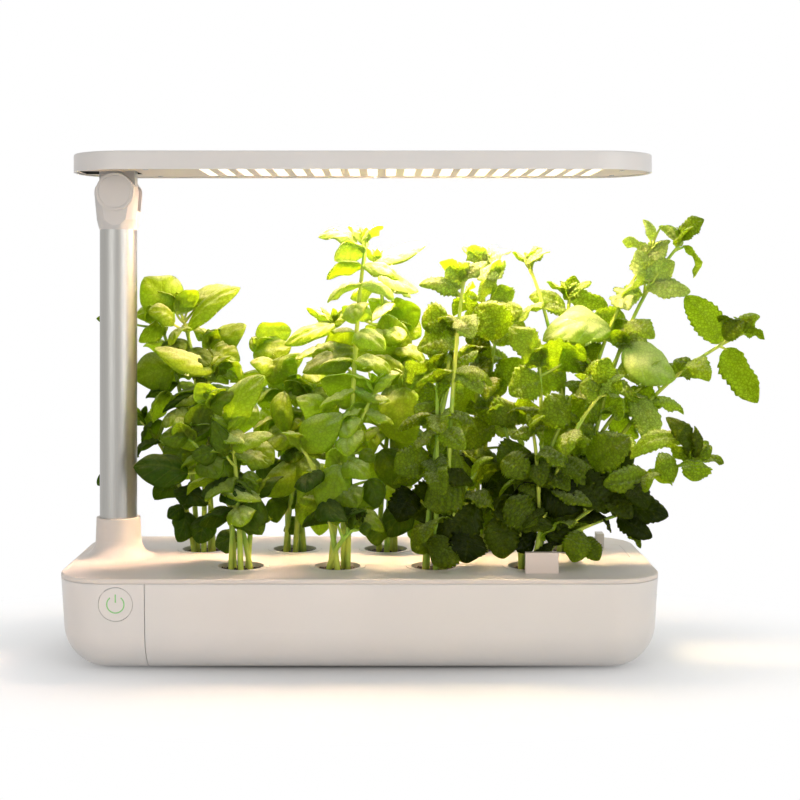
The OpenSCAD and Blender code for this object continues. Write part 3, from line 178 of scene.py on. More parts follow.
def add_node(tree, kind, inputs=None, **values):
    """A node of that kind, with its properties set and its inputs set or linked."""
    node = tree.nodes.new(kind)
    for name, value in values.items():
        setattr(node, name, value)
    fill_inputs(tree, node, inputs or {})
    return node


def new_group(name, inputs, outputs):
    """An empty node group with float, colour or vector sockets, and its two end nodes."""
    group = bpy.data.node_groups.new(name, "ShaderNodeTree")
    for label, kind, value in inputs:
        socket = group.interface.new_socket(label, in_out="INPUT", socket_type=kind)
        socket.default_value = value
    for label, kind in outputs:
        group.interface.new_socket(label, in_out="OUTPUT", socket_type=kind)
    return group, group.nodes.new("NodeGroupInput").outputs, group.nodes.new("NodeGroupOutput")


def new_material(name, **sockets):
    """A material with one Principled shader, whose sockets take the given plain values."""
    material = bpy.data.materials.new(name)
    material.use_nodes = True
    tree = material.node_tree
    tree.nodes.clear()
    inputs = {socket.replace("_", " "): value for socket, value in sockets.items()}
    shader = add_node(tree, "ShaderNodeBsdfPrincipled", inputs)
    add_node(tree, "ShaderNodeOutputMaterial", {"Surface": shader.outputs["BSDF"]})
    return material, tree, shader


def math(tree, operation, *values):
    """A Math node over sockets or plain numbers. Returns its output socket."""
    return add_node(tree, "ShaderNodeMath", dict(enumerate(values)), operation=operation).outputs[0]


def times(tree, first, second):
    """The product of two sockets or numbers."""
    return math(tree, "MULTIPLY", first, second)


def off_middle(tree, value, middle):
    """How far a value is from the middle, either way."""
    return math(tree, "ABSOLUTE", math(tree, "SUBTRACT", value, middle))


def mix_colour(tree, factor, first, second):
    """A colour between two colours or sockets, by a factor socket. Returns its output socket."""
    inputs = {0: factor, 6: first, 7: second}
    return add_node(tree, "ShaderNodeMix", inputs, data_type="RGBA").outputs[2]


def map_range(tree, value, low, high, new_low=0.0, new_high=1.0, kind="SMOOTHSTEP"):
    """A value stretched from one range to another, with eased ends. Returns its output socket."""
    inputs = {"Value": value, "From Min": low, "From Max": high, "To Min": new_low, "To Max": new_high}
    return add_node(tree, "ShaderNodeMapRange", inputs, interpolation_type=kind).outputs["Result"]


def object_place(tree):
    """The place on the piece, in metres."""
    return add_node(tree, "ShaderNodeTexCoord").outputs["Object"]


def upwards(tree):
    """How far the surface faces the sky, from 1 for straight up to -1 for straight down."""
    normal = add_node(tree, "ShaderNodeTexCoord").outputs["Normal"]
    return add_node(tree, "ShaderNodeSeparateXYZ", {"Vector": normal}).outputs["Z"]


def noise(tree, place, scale, detail, distortion=0.0):
    """Soft noise read at a place socket. Returns its value socket."""
    inputs = {"Vector": place, "Scale": scale, "Detail": detail, "Distortion": distortion}
    return add_node(tree, "ShaderNodeTexNoise", inputs).outputs["Fac"]


def toned(tree, colour, **changes):
    """A colour socket in another value or saturation."""
    return add_node(tree, "ShaderNodeHueSaturation", {"Color": colour, **changes}).outputs["Color"]


def attribute(tree, name):
    """A number that the mesh holds at its points."""
    return add_node(tree, "ShaderNodeAttribute", attribute_name=name).outputs["Fac"]


def seen_straight(tree):
    """1 where the camera, a mirror or glass sees the surface, and 0 for the light that leaves it."""
    rays = add_node(tree, "ShaderNodeLightPath").outputs
    seen = math(tree, "MAXIMUM", rays["Is Camera Ray"], rays["Is Glossy Ray"])
    return math(tree, "MAXIMUM", seen, rays["Is Transmission Ray"])


def mix_shaders(tree, factor, first, second, end):
    """Sends a mix of two shader sockets, by a factor, to an output node."""
    mixed = add_node(tree, "ShaderNodeMixShader", {0: factor, 1: first, 2: second})
    fill_inputs(tree, end, {"Surface": mixed.outputs["Shader"]})


def bump(tree, shader, height, distance):
    """Raises the shader's surface by a height socket, times a distance in metres."""
    node = add_node(tree, "ShaderNodeBump", {"Strength": 1.0, "Distance": distance, "Height": height})
    fill_inputs(tree, shader, {"Normal": node.outputs["Normal"]})


def tinted(colour, *gains):
    """A colour times one gain, or times gains for red, green and blue, and 1 at most."""
    return tuple(np.minimum(np.array(tuple(colour)) * gains, 1.0).tolist())


# ------------------------------------------------------------------ shared effects

SURFACE_OUTPUTS = [
    ("Colour", "NodeSocketColor"),
    ("Roughness", "NodeSocketFloat"),
    ("Height", "NodeSocketFloat"),
]


def moulded_group():
    """Moulded plastic: a fine grain, a faint cloudiness in the colour, and polish that varies."""
    inputs = [("Colour", "NodeSocketColor", (0.8, 0.8, 0.8, 1.0)), ("Roughness", "NodeSocketFloat", 0.4),
              ("Grain size", "NodeSocketFloat", 0.0008)]
    group, entry, end = new_group("Moulded plastic", inputs, SURFACE_OUTPUTS)
    place = object_place(group)
    cloud = map_range(group, noise(group, place, 9.0, 3.0), 0.35, 0.65)
    darker = toned(group, entry["Colour"], Value=0.955, Saturation=1.12)
    polish = map_range(group, noise(group, place, 60.0, 4.0), 0.3, 0.7, -0.035, 0.035)
    fill_inputs(group, end, {
        "Colour": mix_colour(group, cloud, entry["Colour"], darker),
        "Roughness": math(group, "ADD", entry["Roughness"], polish),
        "Height": noise(group, place, math(group, "DIVIDE", 1.0, entry["Grain size"]), 2.0),
    })
    return group


def brushed_group():
    """Drawn and anodised metal: fine streaks along the piece, in the colour and in the polish."""
    inputs = [("Colour", "NodeSocketColor", (0.7, 0.7, 0.7, 1.0)), ("Roughness", "NodeSocketFloat", 0.35)]
    group, entry, end = new_group("Drawn metal", inputs, SURFACE_OUTPUTS)
    stretch = add_node(group, "ShaderNodeMapping", {"Vector": object_place(group), "Scale": (1.0, 1.0, 0.02)})
    streak = noise(group, stretch.outputs["Vector"], 2600.0, 3.0)
    darker = toned(group, entry["Colour"], Value=0.86)
    polish = map_range(group, streak, 0.3, 0.7, -0.05, 0.05)
    fill_inputs(group, end, {
        "Colour": mix_colour(group, streak, entry["Colour"], darker),
        "Roughness": math(group, "ADD", entry["Roughness"], polish),
        "Height": streak,
    })
    return group


def leaf_group():
    """Leaf blade: veins that leave the midrib at a slant, a fine net between them, and blotches."""
    inputs = [("UV", "NodeSocketVector", (0.0, 0.0, 0.0)), ("Vein pairs", "NodeSocketFloat", 6.0),
              ("Slant", "NodeSocketFloat", 0.35), ("Net size", "NodeSocketFloat", 0.002)]
    outputs = [(label, "NodeSocketFloat") for label in ("Vein", "Net", "Blotch", "Height")]
    group, entry, end = new_group("Leaf blade", inputs, outputs)
    split = add_node(group, "ShaderNodeSeparateXYZ", {"Vector": entry["UV"]}).outputs
    across = times(group, off_middle(group, split["Y"], 0.5), 2.0)
    slanted = math(group, "SUBTRACT", split["X"], times(group, across, entry["Slant"]))
    phase = math(group, "FRACT", times(group, slanted, entry["Vein pairs"]))
    side_vein = map_range(group, off_middle(group, phase, 0.5), 0.40, 0.49)
    side_vein = times(group, side_vein, map_range(group, across, 1.0, 0.55, 0.25, 1.0))
    vein = math(group, "MAXIMUM", side_vein, map_range(group, across, 0.09, 0.02))
    place = object_place(group)
    cells = {"Vector": place, "Scale": math(group, "DIVIDE", 1.0, entry["Net size"])}
    net = add_node(group, "ShaderNodeTexVoronoi", cells, feature="DISTANCE_TO_EDGE")
    net_line = map_range(group, net.outputs["Distance"], 0.0, 0.20, 1.0, 0.0)
    fill_inputs(group, end, {
        "Vein": vein,
        "Net": net_line,
        "Blotch": map_range(group, noise(group, place, 70.0, 4.0), 0.3, 0.7),
        "Height": math(group, "ADD", times(group, vein, -1.0), times(group, net_line, -0.35)),
    })
    return group


GROUPS = {"Moulded plastic": moulded_group, "Leaf blade": leaf_group, "Drawn metal": brushed_group}


def use_group(tree, name, inputs):
    """That shared effect in a material, built the first time that it is asked for. Returns its outputs."""
    group = bpy.data.node_groups.get(name) or GROUPS[name]()
    return add_node(tree, "ShaderNodeGroup", inputs, node_tree=group).outputs


# ------------------------------------------------------------------ materials


def surface(tree, shader, look, grain_height):
    """Gives the shader the colour, roughness and height that a shared effect puts out."""
    fill_inputs(tree, shader, {"Base Color": look["Colour"], "Roughness": look["Roughness"]})
    bump(tree, shader, look["Height"], grain_height)


def plastic(name, colour, roughness, grain=0.0008, grain_height=0.00001, **sockets):
    """Moulded plastic in that colour."""
    material, tree, shader = new_material(name, **sockets)
    inputs = {"Colour": colour, "Roughness": roughness, "Grain size": grain}
    surface(tree, shader, use_group(tree, "Moulded plastic", inputs), grain_height)
    return material


def metal(name, colour, roughness):
    """Drawn metal in that colour."""
    material, tree, shader = new_material(name, Metallic=1.0)
    look = use_group(tree, "Drawn metal", {"Colour": colour, "Roughness": roughness})
    surface(tree, shader, look, 0.000004)
    return material


def lit_windows(name, left, right, strength, seen_strength):
    """Rows of light chips behind clear windows, rosy at the pole and golden at the far end.

    Only the faces that look down give light, and less of it near the pole, whose head would be dazzling
    otherwise, and at the far end. The camera sees the windows far weaker than they are: pale chips in a
    golden rim.
    """
    material, tree, shader = new_material(name, Base_Color=(0.9, 0.88, 0.8), Roughness=0.3)
    split = add_node(tree, "ShaderNodeSeparateXYZ", {"Vector": object_place(tree)}).outputs
    along = map_range(tree, split["X"], bars_low.x, bars_high.x, kind="LINEAR")
    glow = mix_colour(tree, along, left, right)
    pitch = (bars_high.x - bars_low.x - WINDOW_WIDTH) / (WINDOW_COUNT - 1)
    window = math(tree, "SUBTRACT", split["X"], bars_low.x + WINDOW_WIDTH / 2)
    window = math(tree, "DIVIDE", window, pitch)
    off_window = off_middle(tree, window, math(tree, "ROUND", window))
    off_row = off_middle(tree, math(tree, "FRACT", math(tree, "DIVIDE", split["Y"], CHIP_PITCH)), 0.5)
    chip = map_range(tree, off_window, 0.22, 0.12)
    chip = times(tree, chip, map_range(tree, off_row, 0.46, 0.34, 0.7, 1.0))
    seen_colour = mix_colour(tree, chip, WINDOW_RIM_COLOUR, CHIP_COLOUR)
    seen = add_node(tree, "ShaderNodeLightPath").outputs["Is Camera Ray"]
    given = map_range(tree, upwards(tree), -0.8, -0.6, 1.0, 0.0)
    given = times(tree, given, map_range(tree, along, 0.02, 0.50, 0.05 * strength, strength))
    given = times(tree, given, map_range(tree, along, 0.66, 1.0, 1.0, 0.16))
    away = times(tree, given, math(tree, "SUBTRACT", 1.0, seen))
    fill_inputs(tree, shader, {
        "Emission Color": mix_colour(tree, seen, glow, seen_colour),
        "Emission Strength": math(tree, "ADD", away, times(tree, seen, seen_strength)),
    })
    return material


def pierced_panel(name, colour):
    """Plastic round the windows, whose upright walls are painted near black as painted shade, so that no
    light leaks sideways.
    """
    material, tree, shader = new_material(name, Roughness=0.5)
    upright = map_range(tree, math(tree, "ABSOLUTE", upwards(tree)), 0.3, 0.6, 1.0, 0.0)
    look = use_group(tree, "Moulded plastic", {"Colour": colour})
    shade = mix_colour(tree, upright, look["Colour"], (0.01, 0.008, 0.005))
    fill_inputs(tree, shader, {"Base Color": shade})
    return material


def leaf(name, kind, colour, back, vein_colour, net_size, crease_shade, relief, roughness, painted_sheen, old_or_shaded_share,
         painted_sheen_from=0.35):
    """A leaf that shows light through: upper face, paler veins, blotches and a tone that is partly painted
    light and shade.

    The tone goes from 0 for an old or shaded dark leaf over 1 for a young or lit one to 2 for a painted
    glare where the lamp washes it out. Where a young or lit leaf faces the sky, a painted sheen of the lamp
    pales it. The fine net darkens the face, as painted shade in its creases, and darkens the light that
    comes through.
    """
    material, tree, shader = new_material(name, Specular_IOR_Level=0.0, Coat_Weight=0.25, Coat_Roughness=0.30)
    uv = add_node(tree, "ShaderNodeUVMap", uv_map="blade").outputs["UV"]
    inputs = {"UV": uv, "Vein pairs": kind.vein_pairs, "Slant": kind.slant, "Net size": net_size}
    look = use_group(tree, "Leaf blade", inputs)
    # Tone: a random and young leaf's lightness, plus painted lamp light and shade by height and place
    tone = attribute(tree, "tone")
    young_or_lit = math(tree, "MINIMUM", tone, 1.0)
    old_or_shaded = tinted(colour, *(gain * old_or_shaded_share for gain in OLD_OR_SHADED_GAINS))
    upper = mix_colour(tree, young_or_lit, old_or_shaded, tinted(colour, *YOUNG_OR_LIT_GAINS))
    upper = mix_colour(tree, times(tree, look["Blotch"], 0.25), upper, colour)
    under = mix_colour(tree, young_or_lit, tinted(back, DARK_GAIN), back)
    face = mix_colour(tree, times(tree, attribute(tree, "underside"), 0.8), upper, under)
    # Painted glare: tone above 1 pales the face towards the glare colour, for leaves close under the lamp
    painted_glare = times(tree, math(tree, "SUBTRACT", tone, young_or_lit), 0.8)
    face = mix_colour(tree, painted_glare, face, PAINTED_GLARE_COLOUR)
    # Painted sheen: faces that look up to the lamp are paled towards the sheen colour, as the lamp's
    # highlight
    painted_sheen_mask = map_range(tree, upwards(tree), painted_sheen_from, painted_sheen_from + 0.55, 0.0, 0.6)
    painted_sheen_mask = times(tree, painted_sheen_mask, map_range(tree, young_or_lit, 0.15, 0.75, 0.12, 1.0))
    face = mix_colour(tree, painted_sheen_mask, face, painted_sheen)
    paler = times(tree, look["Vein"], map_range(tree, young_or_lit, 0.0, 0.8, 0.10, 0.45))
    face = mix_colour(tree, paler, face, vein_colour)
    # Painted shade in the creases of the fine net; the net also holds back the light that comes through
    face = mix_colour(tree, times(tree, look["Net"], crease_shade), face, tinted(colour, DARK_GAIN))
    rough = math(tree, "ADD", times(tree, look["Blotch"], 0.12), roughness)
    fill_inputs(tree, shader, {"Base Color": face, "Roughness": rough})
    bump(tree, shader, look["Height"], relief)
    clear = math(tree, "ADD", times(tree, young_or_lit, 0.84), 0.08)
    glow = mix_colour(tree, clear, toned(tree, face, Value=2.5), LIGHT_THROUGH)
    glow = mix_colour(tree, times(tree, look["Net"], crease_shade * 0.9), glow, colour)
    through = add_node(tree, "ShaderNodeBsdfTranslucent", {"Color": glow})
    mix_shaders(tree, LIGHT_THROUGH_SHARE, shader.outputs["BSDF"], through.outputs["BSDF"],
                tree.nodes["Material Output"])
    return material


def stem(name, colour):
    """Juicy pale stem: fine ribs along it and a greener tone in blotches."""
    material, tree, shader = new_material(
        name, Roughness=0.5, Subsurface_Weight=0.25, Subsurface_Scale=0.002,
        Subsurface_Radius=(1.0, 0.9, 0.25), Specular_IOR_Level=0.15,
    )
    uv = add_node(tree, "ShaderNodeUVMap", uv_map="blade").outputs["UV"]
    stretch = add_node(tree, "ShaderNodeMapping", {"Vector": uv, "Scale": (4.0, 9.0, 1.0)})
    shade = map_range(tree, noise(tree, object_place(tree), 45.0, 3.0), 0.35, 0.7)
    greener = mix_colour(tree, shade, colour, tinted(colour, *GREENER_GAINS))
    fill_inputs(tree, shader, {"Base Color": greener})
    bump(tree, shader, noise(tree, stretch.outputs["Vector"], 3.0, 3.0), 0.0002)
    return material


def damp_medium(name):
    """Damp peat and coir: dark crumbs, paler fibres and a few wet glints."""
    material, tree, shader = new_material(name)
    place = object_place(tree)
    crumbs = add_node(tree, "ShaderNodeTexVoronoi", {"Vector": place, "Scale": 420.0}).outputs["Distance"]
    fibres = noise(tree, place, 260.0, 8.0, 2.5)
    dark = mix_colour(tree, crumbs, (0.012, 0.007, 0.004), (0.075, 0.040, 0.018))
    fill_inputs(tree, shader, {
        "Base Color": mix_colour(tree, map_range(tree, fibres, 0.62, 0.72), dark, (0.20, 0.12, 0.06)),
        "Roughness": map_range(tree, fibres, 0.35, 0.6, 0.45, 0.95),
    })
    bump(tree, shader, math(tree, "ADD", crumbs, fibres), 0.001)
    return material


def circuit(name):
    """Green solder mask with paler tracks on a square grid."""
    material, tree, shader = new_material(name, Roughness=0.3, Coat_Weight=0.3)
    turn = add_node(tree, "ShaderNodeMapping", {
        "Vector": object_place(tree), "Rotation": (np.pi / 2, 0.0, 0.0),
    })
    tracks = add_node(tree, "ShaderNodeTexBrick", {
        "Vector": turn.outputs["Vector"], "Scale": 200.0, "Mortar Size": 0.03,
        "Color1": (0.010, 0.11, 0.035), "Color2": (0.014, 0.13, 0.04), "Mortar": (0.03, 0.22, 0.07),
    })
    fill_inputs(tree, shader, {"Base Color": tracks.outputs["Color"]})
    return material


def dress(material, *names):
    """Gives CAD nodes that material."""
    for name in names:
        for slot in NODES[name].material_slots:
            slot.material = material


# ------------------------------------------------------------------ surfaces


def ring_faces(rings, around):
    """Quads between neighbouring closed rings of points, numbered row by row."""
    row, point = np.meshgrid(np.arange(rings - 1), np.arange(around), indexing="ij")
    after = (point + 1) % around
    corners = (row * around + point, (row + 1) * around + point,
               (row + 1) * around + after, row * around + after)
    return np.stack(corners, axis=-1).reshape(-1, 4)


def fan_faces(around, ring_start, centre, forwards):
    """Triangles from one centre point to every edge of a ring."""
    point = np.arange(around)
    after = (point + 1) % around
    middle = np.full(around, centre)
    first, second = (after, point) if forwards else (point, after)
    return np.stack((middle, ring_start + first, ring_start + second), axis=-1)


def capped_tubes(rings, starts, ends):
    """Vertices and faces of many like closed tubes.

    rings is (tube, ring, point, 3). starts and ends are the points that close each tube's two ends.
    """
    count, rows, around = rings.shape[:3]
    body = rings.reshape(count, rows * around, 3)
    vertices = np.concatenate((body, starts[:, None], ends[:, None]), axis=1)
    offset = (np.arange(count) * vertices.shape[1])[:, None, None]
    fans = np.concatenate((
        fan_faces(around, 0, rows * around, False),
        fan_faces(around, (rows - 1) * around, rows * around + 1, True),
    ))
    quads = (ring_faces(rows, around)[None] + offset).reshape(-1, 4)
    triangles = (fans[None] + offset).reshape(-1, 3)
    return vertices.reshape(-1, 3), quads, triangles


def tube_uv(along, around):
    """UVs of capped tubes: two coordinates of every ring point, then (0, 0.5) and (1, 0.5) at the ends."""
    along, around = np.broadcast_arrays(along, around)
    count = len(along)
    rings = np.stack((along, around), axis=-1).reshape(count, -1, 2)
    ends = np.broadcast_to(np.array([[0.0, 0.5], [1.0, 0.5]]), (count, 2, 2))
    return np.concatenate((rings, ends), axis=1).reshape(-1, 2)


def mesh_piece(name, vertices, quads, triangles, material, uv=None, points=None):
    """A smooth mesh object at the origin from arrays, with a UV map and point attributes."""
    mesh = bpy.data.meshes.new(name)
    mesh.from_pydata(vertices.tolist(), [], quads.tolist() + triangles.tolist())
    mesh.polygons.foreach_set("use_smooth", np.ones(len(mesh.polygons), dtype=bool))
    if uv is not None:
        corner = np.empty(len(mesh.loops), dtype=np.int32)
        mesh.loops.foreach_get("vertex_index", corner)
        mesh.uv_layers.new(name="blade").data.foreach_set("uv", uv[corner].astype(np.float32).ravel())
    for label, values in (points or {}).items():
        held = mesh.attributes.new(label, "FLOAT", "POINT")
        held.data.foreach_set("value", values.astype(np.float32))
    mesh.materials.append(material)
    mesh.update()
    mesh.validate()
    piece = bpy.data.objects.new(name, mesh)
    bpy.context.scene.collection.objects.link(piece)
    return piece


def circle(count):
    """Evenly spaced angles round a full turn."""
    return np.linspace(0.0, 2 * np.pi, count, endpoint=False)


def turned(profile, segments):
    """Rings of points from a radius and height profile turned about the Z axis."""
    angle = circle(segments)
    radius, height = np.asarray(profile, float).T
    x = radius[:, None] * np.cos(angle)
    y = radius[:, None] * np.sin(angle)
    return np.stack((x, y, np.broadcast_to(height[:, None], x.shape)), axis=-1)


# ------------------------------------------------------------------ leaves

# What all leaves of a herb share: rows along and columns across the mesh; powers of the outline towards
# foot and tip; teeth and their depth; range of the cup's half angle; rise of the margins; puff between the
# veins; pairs of side veins and their slant; heights between which leaves turn lighter by painted lamp
# light; range of the margin's wave
BASIL = SimpleNamespace(
    rows=26, columns=12, outline=(0.55, 0.70), teeth=0, tooth_depth=0.0, cup=(0.45, 1.30), fold=0.06,
    puff=0.0018, vein_pairs=4.0, slant=0.42, light_heights=(85 * MM, 180 * MM), wave=(0.03, 0.18),
)
MINT = SimpleNamespace(
    rows=40, columns=10, outline=(0.55, 0.70), teeth=9, tooth_depth=0.17, cup=(-0.35, 1.05), fold=0.08,
    puff=0.0024, vein_pairs=6.5, slant=0.34, light_heights=(112 * MM, 160 * MM), wave=(0.08, 0.34),
)
STALK_RADIUS = 0.7 * MM
BLADE_THICKNESS = 0.45 * MM
RIB_RADIUS = 0.5 * MM
RIB_WIDTH = 1.1 * MM
FULL_PUFF_WIDTH = 8 * MM

# How each leaf bends: range of the arch and spreads of the sway and the twist, which turns about a place
# near the foot; waves along the margin, and how much the two margins are out of step
ARCH = (0.05, 0.26)
SWAY = 0.05
TWIST = 0.45
TWIST_PIVOT = 0.3
LEAST_CUP = 0.05
MARGIN_WAVES = 1.7
MARGIN_LAG = 1.9

# Tone of a leaf: its middle and spread, and how much it gains or loses with size, and with height and
# place, which is painted lamp light and shade
TONE_MIDDLE = 0.13
TONE_SPREAD = 0.25
SHORT_LEAF = 20 * MM
SHORT_GAIN = 10.0
HIGH_GAIN = 0.70
OPEN_GAIN = 0.55
OPEN_PLACES = (180 * MM, 212 * MM)
SHADE_LOSS = 0.45
SHADED_PLACES = (-130 * MM, -85 * MM)
OUTER_LOSS = 0.65
OUTER_PLACES = (205 * MM, 245 * MM)
# Painted glare of the lamp on the high leaves
PAINTED_GLARE_GAIN = 0.95
PAINTED_GLARE_HEIGHTS = (222 * MM, 285 * MM)

# How far leaves stay from the pods, the lamp, the tube and the hinge head, and how high above its lower
# edge the head takes up its full room. Points beyond a gap are squeezed into a thin layer.
RIM_GAP = 1.2 * MM
LAMP_GAP = 4 * MM
TUBE_GAP = 2 * MM
HEAD_GAP = 6.5 * MM
HEAD_FLARE = 10 * MM
RIM_SQUEEZE = 0.02
LAMP_SQUEEZE = 0.05


def unit(vectors):
    """The same directions with length one."""
    return vectors / np.linalg.norm(vectors, axis=-1, keepdims=True)


def heading_up(climb, heading):
    """Unit directions that climb by one angle above the level, towards another angle round it."""
    level = np.cos(climb)
    return np.stack((level * np.cos(heading), level * np.sin(heading), np.sin(climb)), axis=-1)


def smoothstep(value, low, high):
    """0 below low, 1 above high, and an eased slope between them."""
    part = np.clip((value - low) / (high - low), 0.0, 1.0)
    return part * part * (3 - 2 * part)


def tooth_wave(along, count):
    """A saw edge: the margin swells slowly towards the tip and falls back sharply."""
    swell = 0.75
    part = np.mod(along * count, 1.0)
    return np.where(part < swell, part / swell, (1 - part) / (1 - swell))


def level_frames(direction):
    """The level side and the upward normal of leaves that run in a direction."""
    level = unit(np.stack((-direction[:, 1], direction[:, 0], 0 * direction[:, 0]), axis=-1))
    return level, np.cross(direction, level)


def rolled_frames(direction, roll):
    """Side and normal of a leaf that runs in a direction: the level side and up, rolled about it."""
    level, up = level_frames(direction)
    cosine, sine = np.cos(roll)[:, None], np.sin(roll)[:, None]
    return level * cosine + up * sine, up * cosine - level * sine


def roll_to_front(direction, facing):
    """The roll that turns a leaf's upper face by the share facing / 90 from the sky to the front."""
    level, up = level_frames(direction)
    front = unit(np.array([0.0, -1.0, 0.0]) + direction[:, 1:2] * direction)
    return np.arctan2(-(front * level).sum(-1), (front * up).sum(-1)) * facing / 90


def blade_frames(leaves, s):
    """Midribs of the leaves, and the ways across and up from their blades, at the places s.

    The midrib is the straight line from foot to tip, lifted along the normal by arch (1 - (2s - 1)^2) and
    swung sideways by sway sin(pi s). The blade twists evenly about it.
    """
    length = leaves["length"][:, None]
    side, normal = rolled_frames(leaves["direction"], leaves["roll"])
    forward, side, normal = leaves["direction"][:, None], side[:, None], normal[:, None]
    arch, sway = leaves["arch"][:, None], leaves["sway"][:, None]
    lift = (length * arch * (1 - (2 * s - 1) ** 2))[..., None]
    swing = (length * sway * np.sin(np.pi * s))[..., None]
    midrib = leaves["foot"][:, None] + forward * (length * s)[..., None] + normal * lift + side * swing
    slope = unit(forward + normal * (arch * 4 * (1 - 2 * s))[..., None]
                 + side * (sway * np.pi * np.cos(np.pi * s))[..., None])
    flat = unit(side - slope * (slope * side).sum(-1, keepdims=True))
    top_way = np.cross(slope, flat)
    twist = (leaves["twist"][:, None] * (s - TWIST_PIVOT))[..., None]
    across = flat * np.cos(twist) + top_way * np.sin(twist)
    upward = top_way * np.cos(twist) - flat * np.sin(twist)
    return midrib, across, upward


def half_widths(kind, width, s):
    """Half widths of the blades at the places s, but never narrower than a tapering stalk.

    The outline is s^a (1 - s)^b, divided by its own largest value, times a saw wave on a toothed leaf.
    """
    a, b = kind.outline
    outline = s**a * (1 - s) ** b / ((a / (a + b)) ** a * (b / (a + b)) ** b)
    if kind.teeth:
        outline = outline * (1 + kind.tooth_depth * (tooth_wave(s, kind.teeth) - 0.5) * (1 - s**4))
    return np.maximum(width / 2 * outline, STALK_RADIUS * (1 - 0.7 * s))


def blade_section(kind, leaves, s, half, v, face):
    """How far out and up from the midrib the points v of the upper (1) or lower (-1) face lie.

    They lie on an arc of half angle cup, which is deepest halfway along: out by sin(cup v) / sin(cup) and
    down by (1 - cos(cup v)) / sin(cup) half widths, so the listed width stays. The blade rises by
    fold |v|, puffs up between slanting side veins by |sin(pi k)|, waves at its margin and has a rib
    underneath. Its first tenth goes over from the round stalk to the thin blade.
    """
    cup = leaves["cup"][:, None, None] * (0.6 + 0.4 * np.sin(np.pi * s))
    cup = np.where(np.abs(cup) < LEAST_CUP, LEAST_CUP, cup)
    out = half * np.sin(cup * v) / np.sin(cup)
    drop = half * (1 - np.cos(cup * v)) / np.sin(cup)
    vein_phase = kind.vein_pairs * (s - kind.slant * np.abs(v))
    between = np.abs(np.sin(np.pi * vein_phase)) ** 0.7 * (1 - np.abs(v) ** 3)
    puffed = kind.puff * between * np.minimum(np.abs(v) * 5, 1) * np.minimum(half / FULL_PUFF_WIDTH, 1)
    phase = leaves["phase"][:, None, None]
    wave = np.sin(2 * np.pi * MARGIN_WAVES * s + phase + MARGIN_LAG * (v > 0))
    wave = leaves["wave"][:, None, None] * half * v * v * wave
    on_blade = smoothstep(s, 0.0, 0.1)
    rib = RIB_RADIUS * on_blade * (1 - s) ** 0.8 * np.exp(-((v * half / RIB_WIDTH) ** 2)) * (face < 0)
    thickness = STALK_RADIUS * (1 - on_blade) + BLADE_THICKNESS / 2 * on_blade
    rim = np.sqrt(np.clip(1 - v * v, 0.0, 1.0))
    rise = (half * kind.fold * np.abs(v) - drop + puffed + wave) * on_blade
    return out, rise + face * (thickness + rib) * rim


def grow_leaves(kind, leaves):
    """Rings, end points, UVs and attributes of closed thin leaves.

    Along the leaf, s runs from 0 at the foot to 1 at the tip. Across, v runs from -1 to 1 over the upper
    face and back underneath.
    """
    s = np.linspace(0.0, 1.0, kind.rows + 1)[None, 1:-1]
    top = np.linspace(-1.0, 1.0, kind.columns + 1)
    v = np.concatenate((top, top[-2:0:-1]))
    face = np.concatenate((np.ones(len(top)), -np.ones(len(top) - 2)))
    midrib, across, upward = blade_frames(leaves, s)
    half = half_widths(kind, leaves["width"][:, None], s)
    out, rise = blade_section(kind, leaves, s[..., None], half[..., None], v, face)
    rings = (midrib[:, :, None] + across[:, :, None] * out[..., None]
             + upward[:, :, None] * rise[..., None])
    count = len(leaves["foot"])
    under = np.concatenate((np.tile(face < 0, kind.rows - 1), [False, False])).astype(float)
    points = {"tone": np.repeat(leaves["tone"], len(under)), "underside": np.tile(under, count)}
    uv = tube_uv(np.repeat(s[..., None], count, axis=0), (v + 1) / 2)
    tips = leaves["foot"] + leaves["direction"] * leaves["length"][:, None]
    return rings, leaves["foot"], tips, uv, points


def keep_clear(vertices):
    """Moves points off the pods, the lamp and the pole, as leaves rest against them."""
    x, y, z = vertices.T.copy()
    floor = pot_high.z + RIM_GAP
    ceiling = panel_low.z - LAMP_GAP
    z = np.where(z < floor, floor + (z - floor) * RIM_SQUEEZE, z)
    z = np.where(z > ceiling, ceiling + (z - ceiling) * LAMP_SQUEEZE, z)
    pole_x = (tube_low.x + tube_high.x) / 2
    radius = (tube_high.x - tube_low.x) / 2
    reach = np.hypot(x - pole_x, y)
    wanted = np.where(z > head_low.z + HEAD_FLARE, radius + HEAD_GAP, radius + TUBE_GAP)
    push = np.where(reach < wanted, wanted / np.maximum(reach, 1e-6), 1.0)
    return np.stack((pole_x + (x - pole_x) * push, y * push, z), axis=-1)


# ------------------------------------------------------------------ plants

# Pods in millimetres: spacing within a row, how far across the first one is, and how far back each row is
POD_PITCH = 67.5
FIRST_POD = -117.0
ROW_Y = {1: 30.0, 0: -37.0}
POD_COUNT = 9
FIRST_MINT = 6

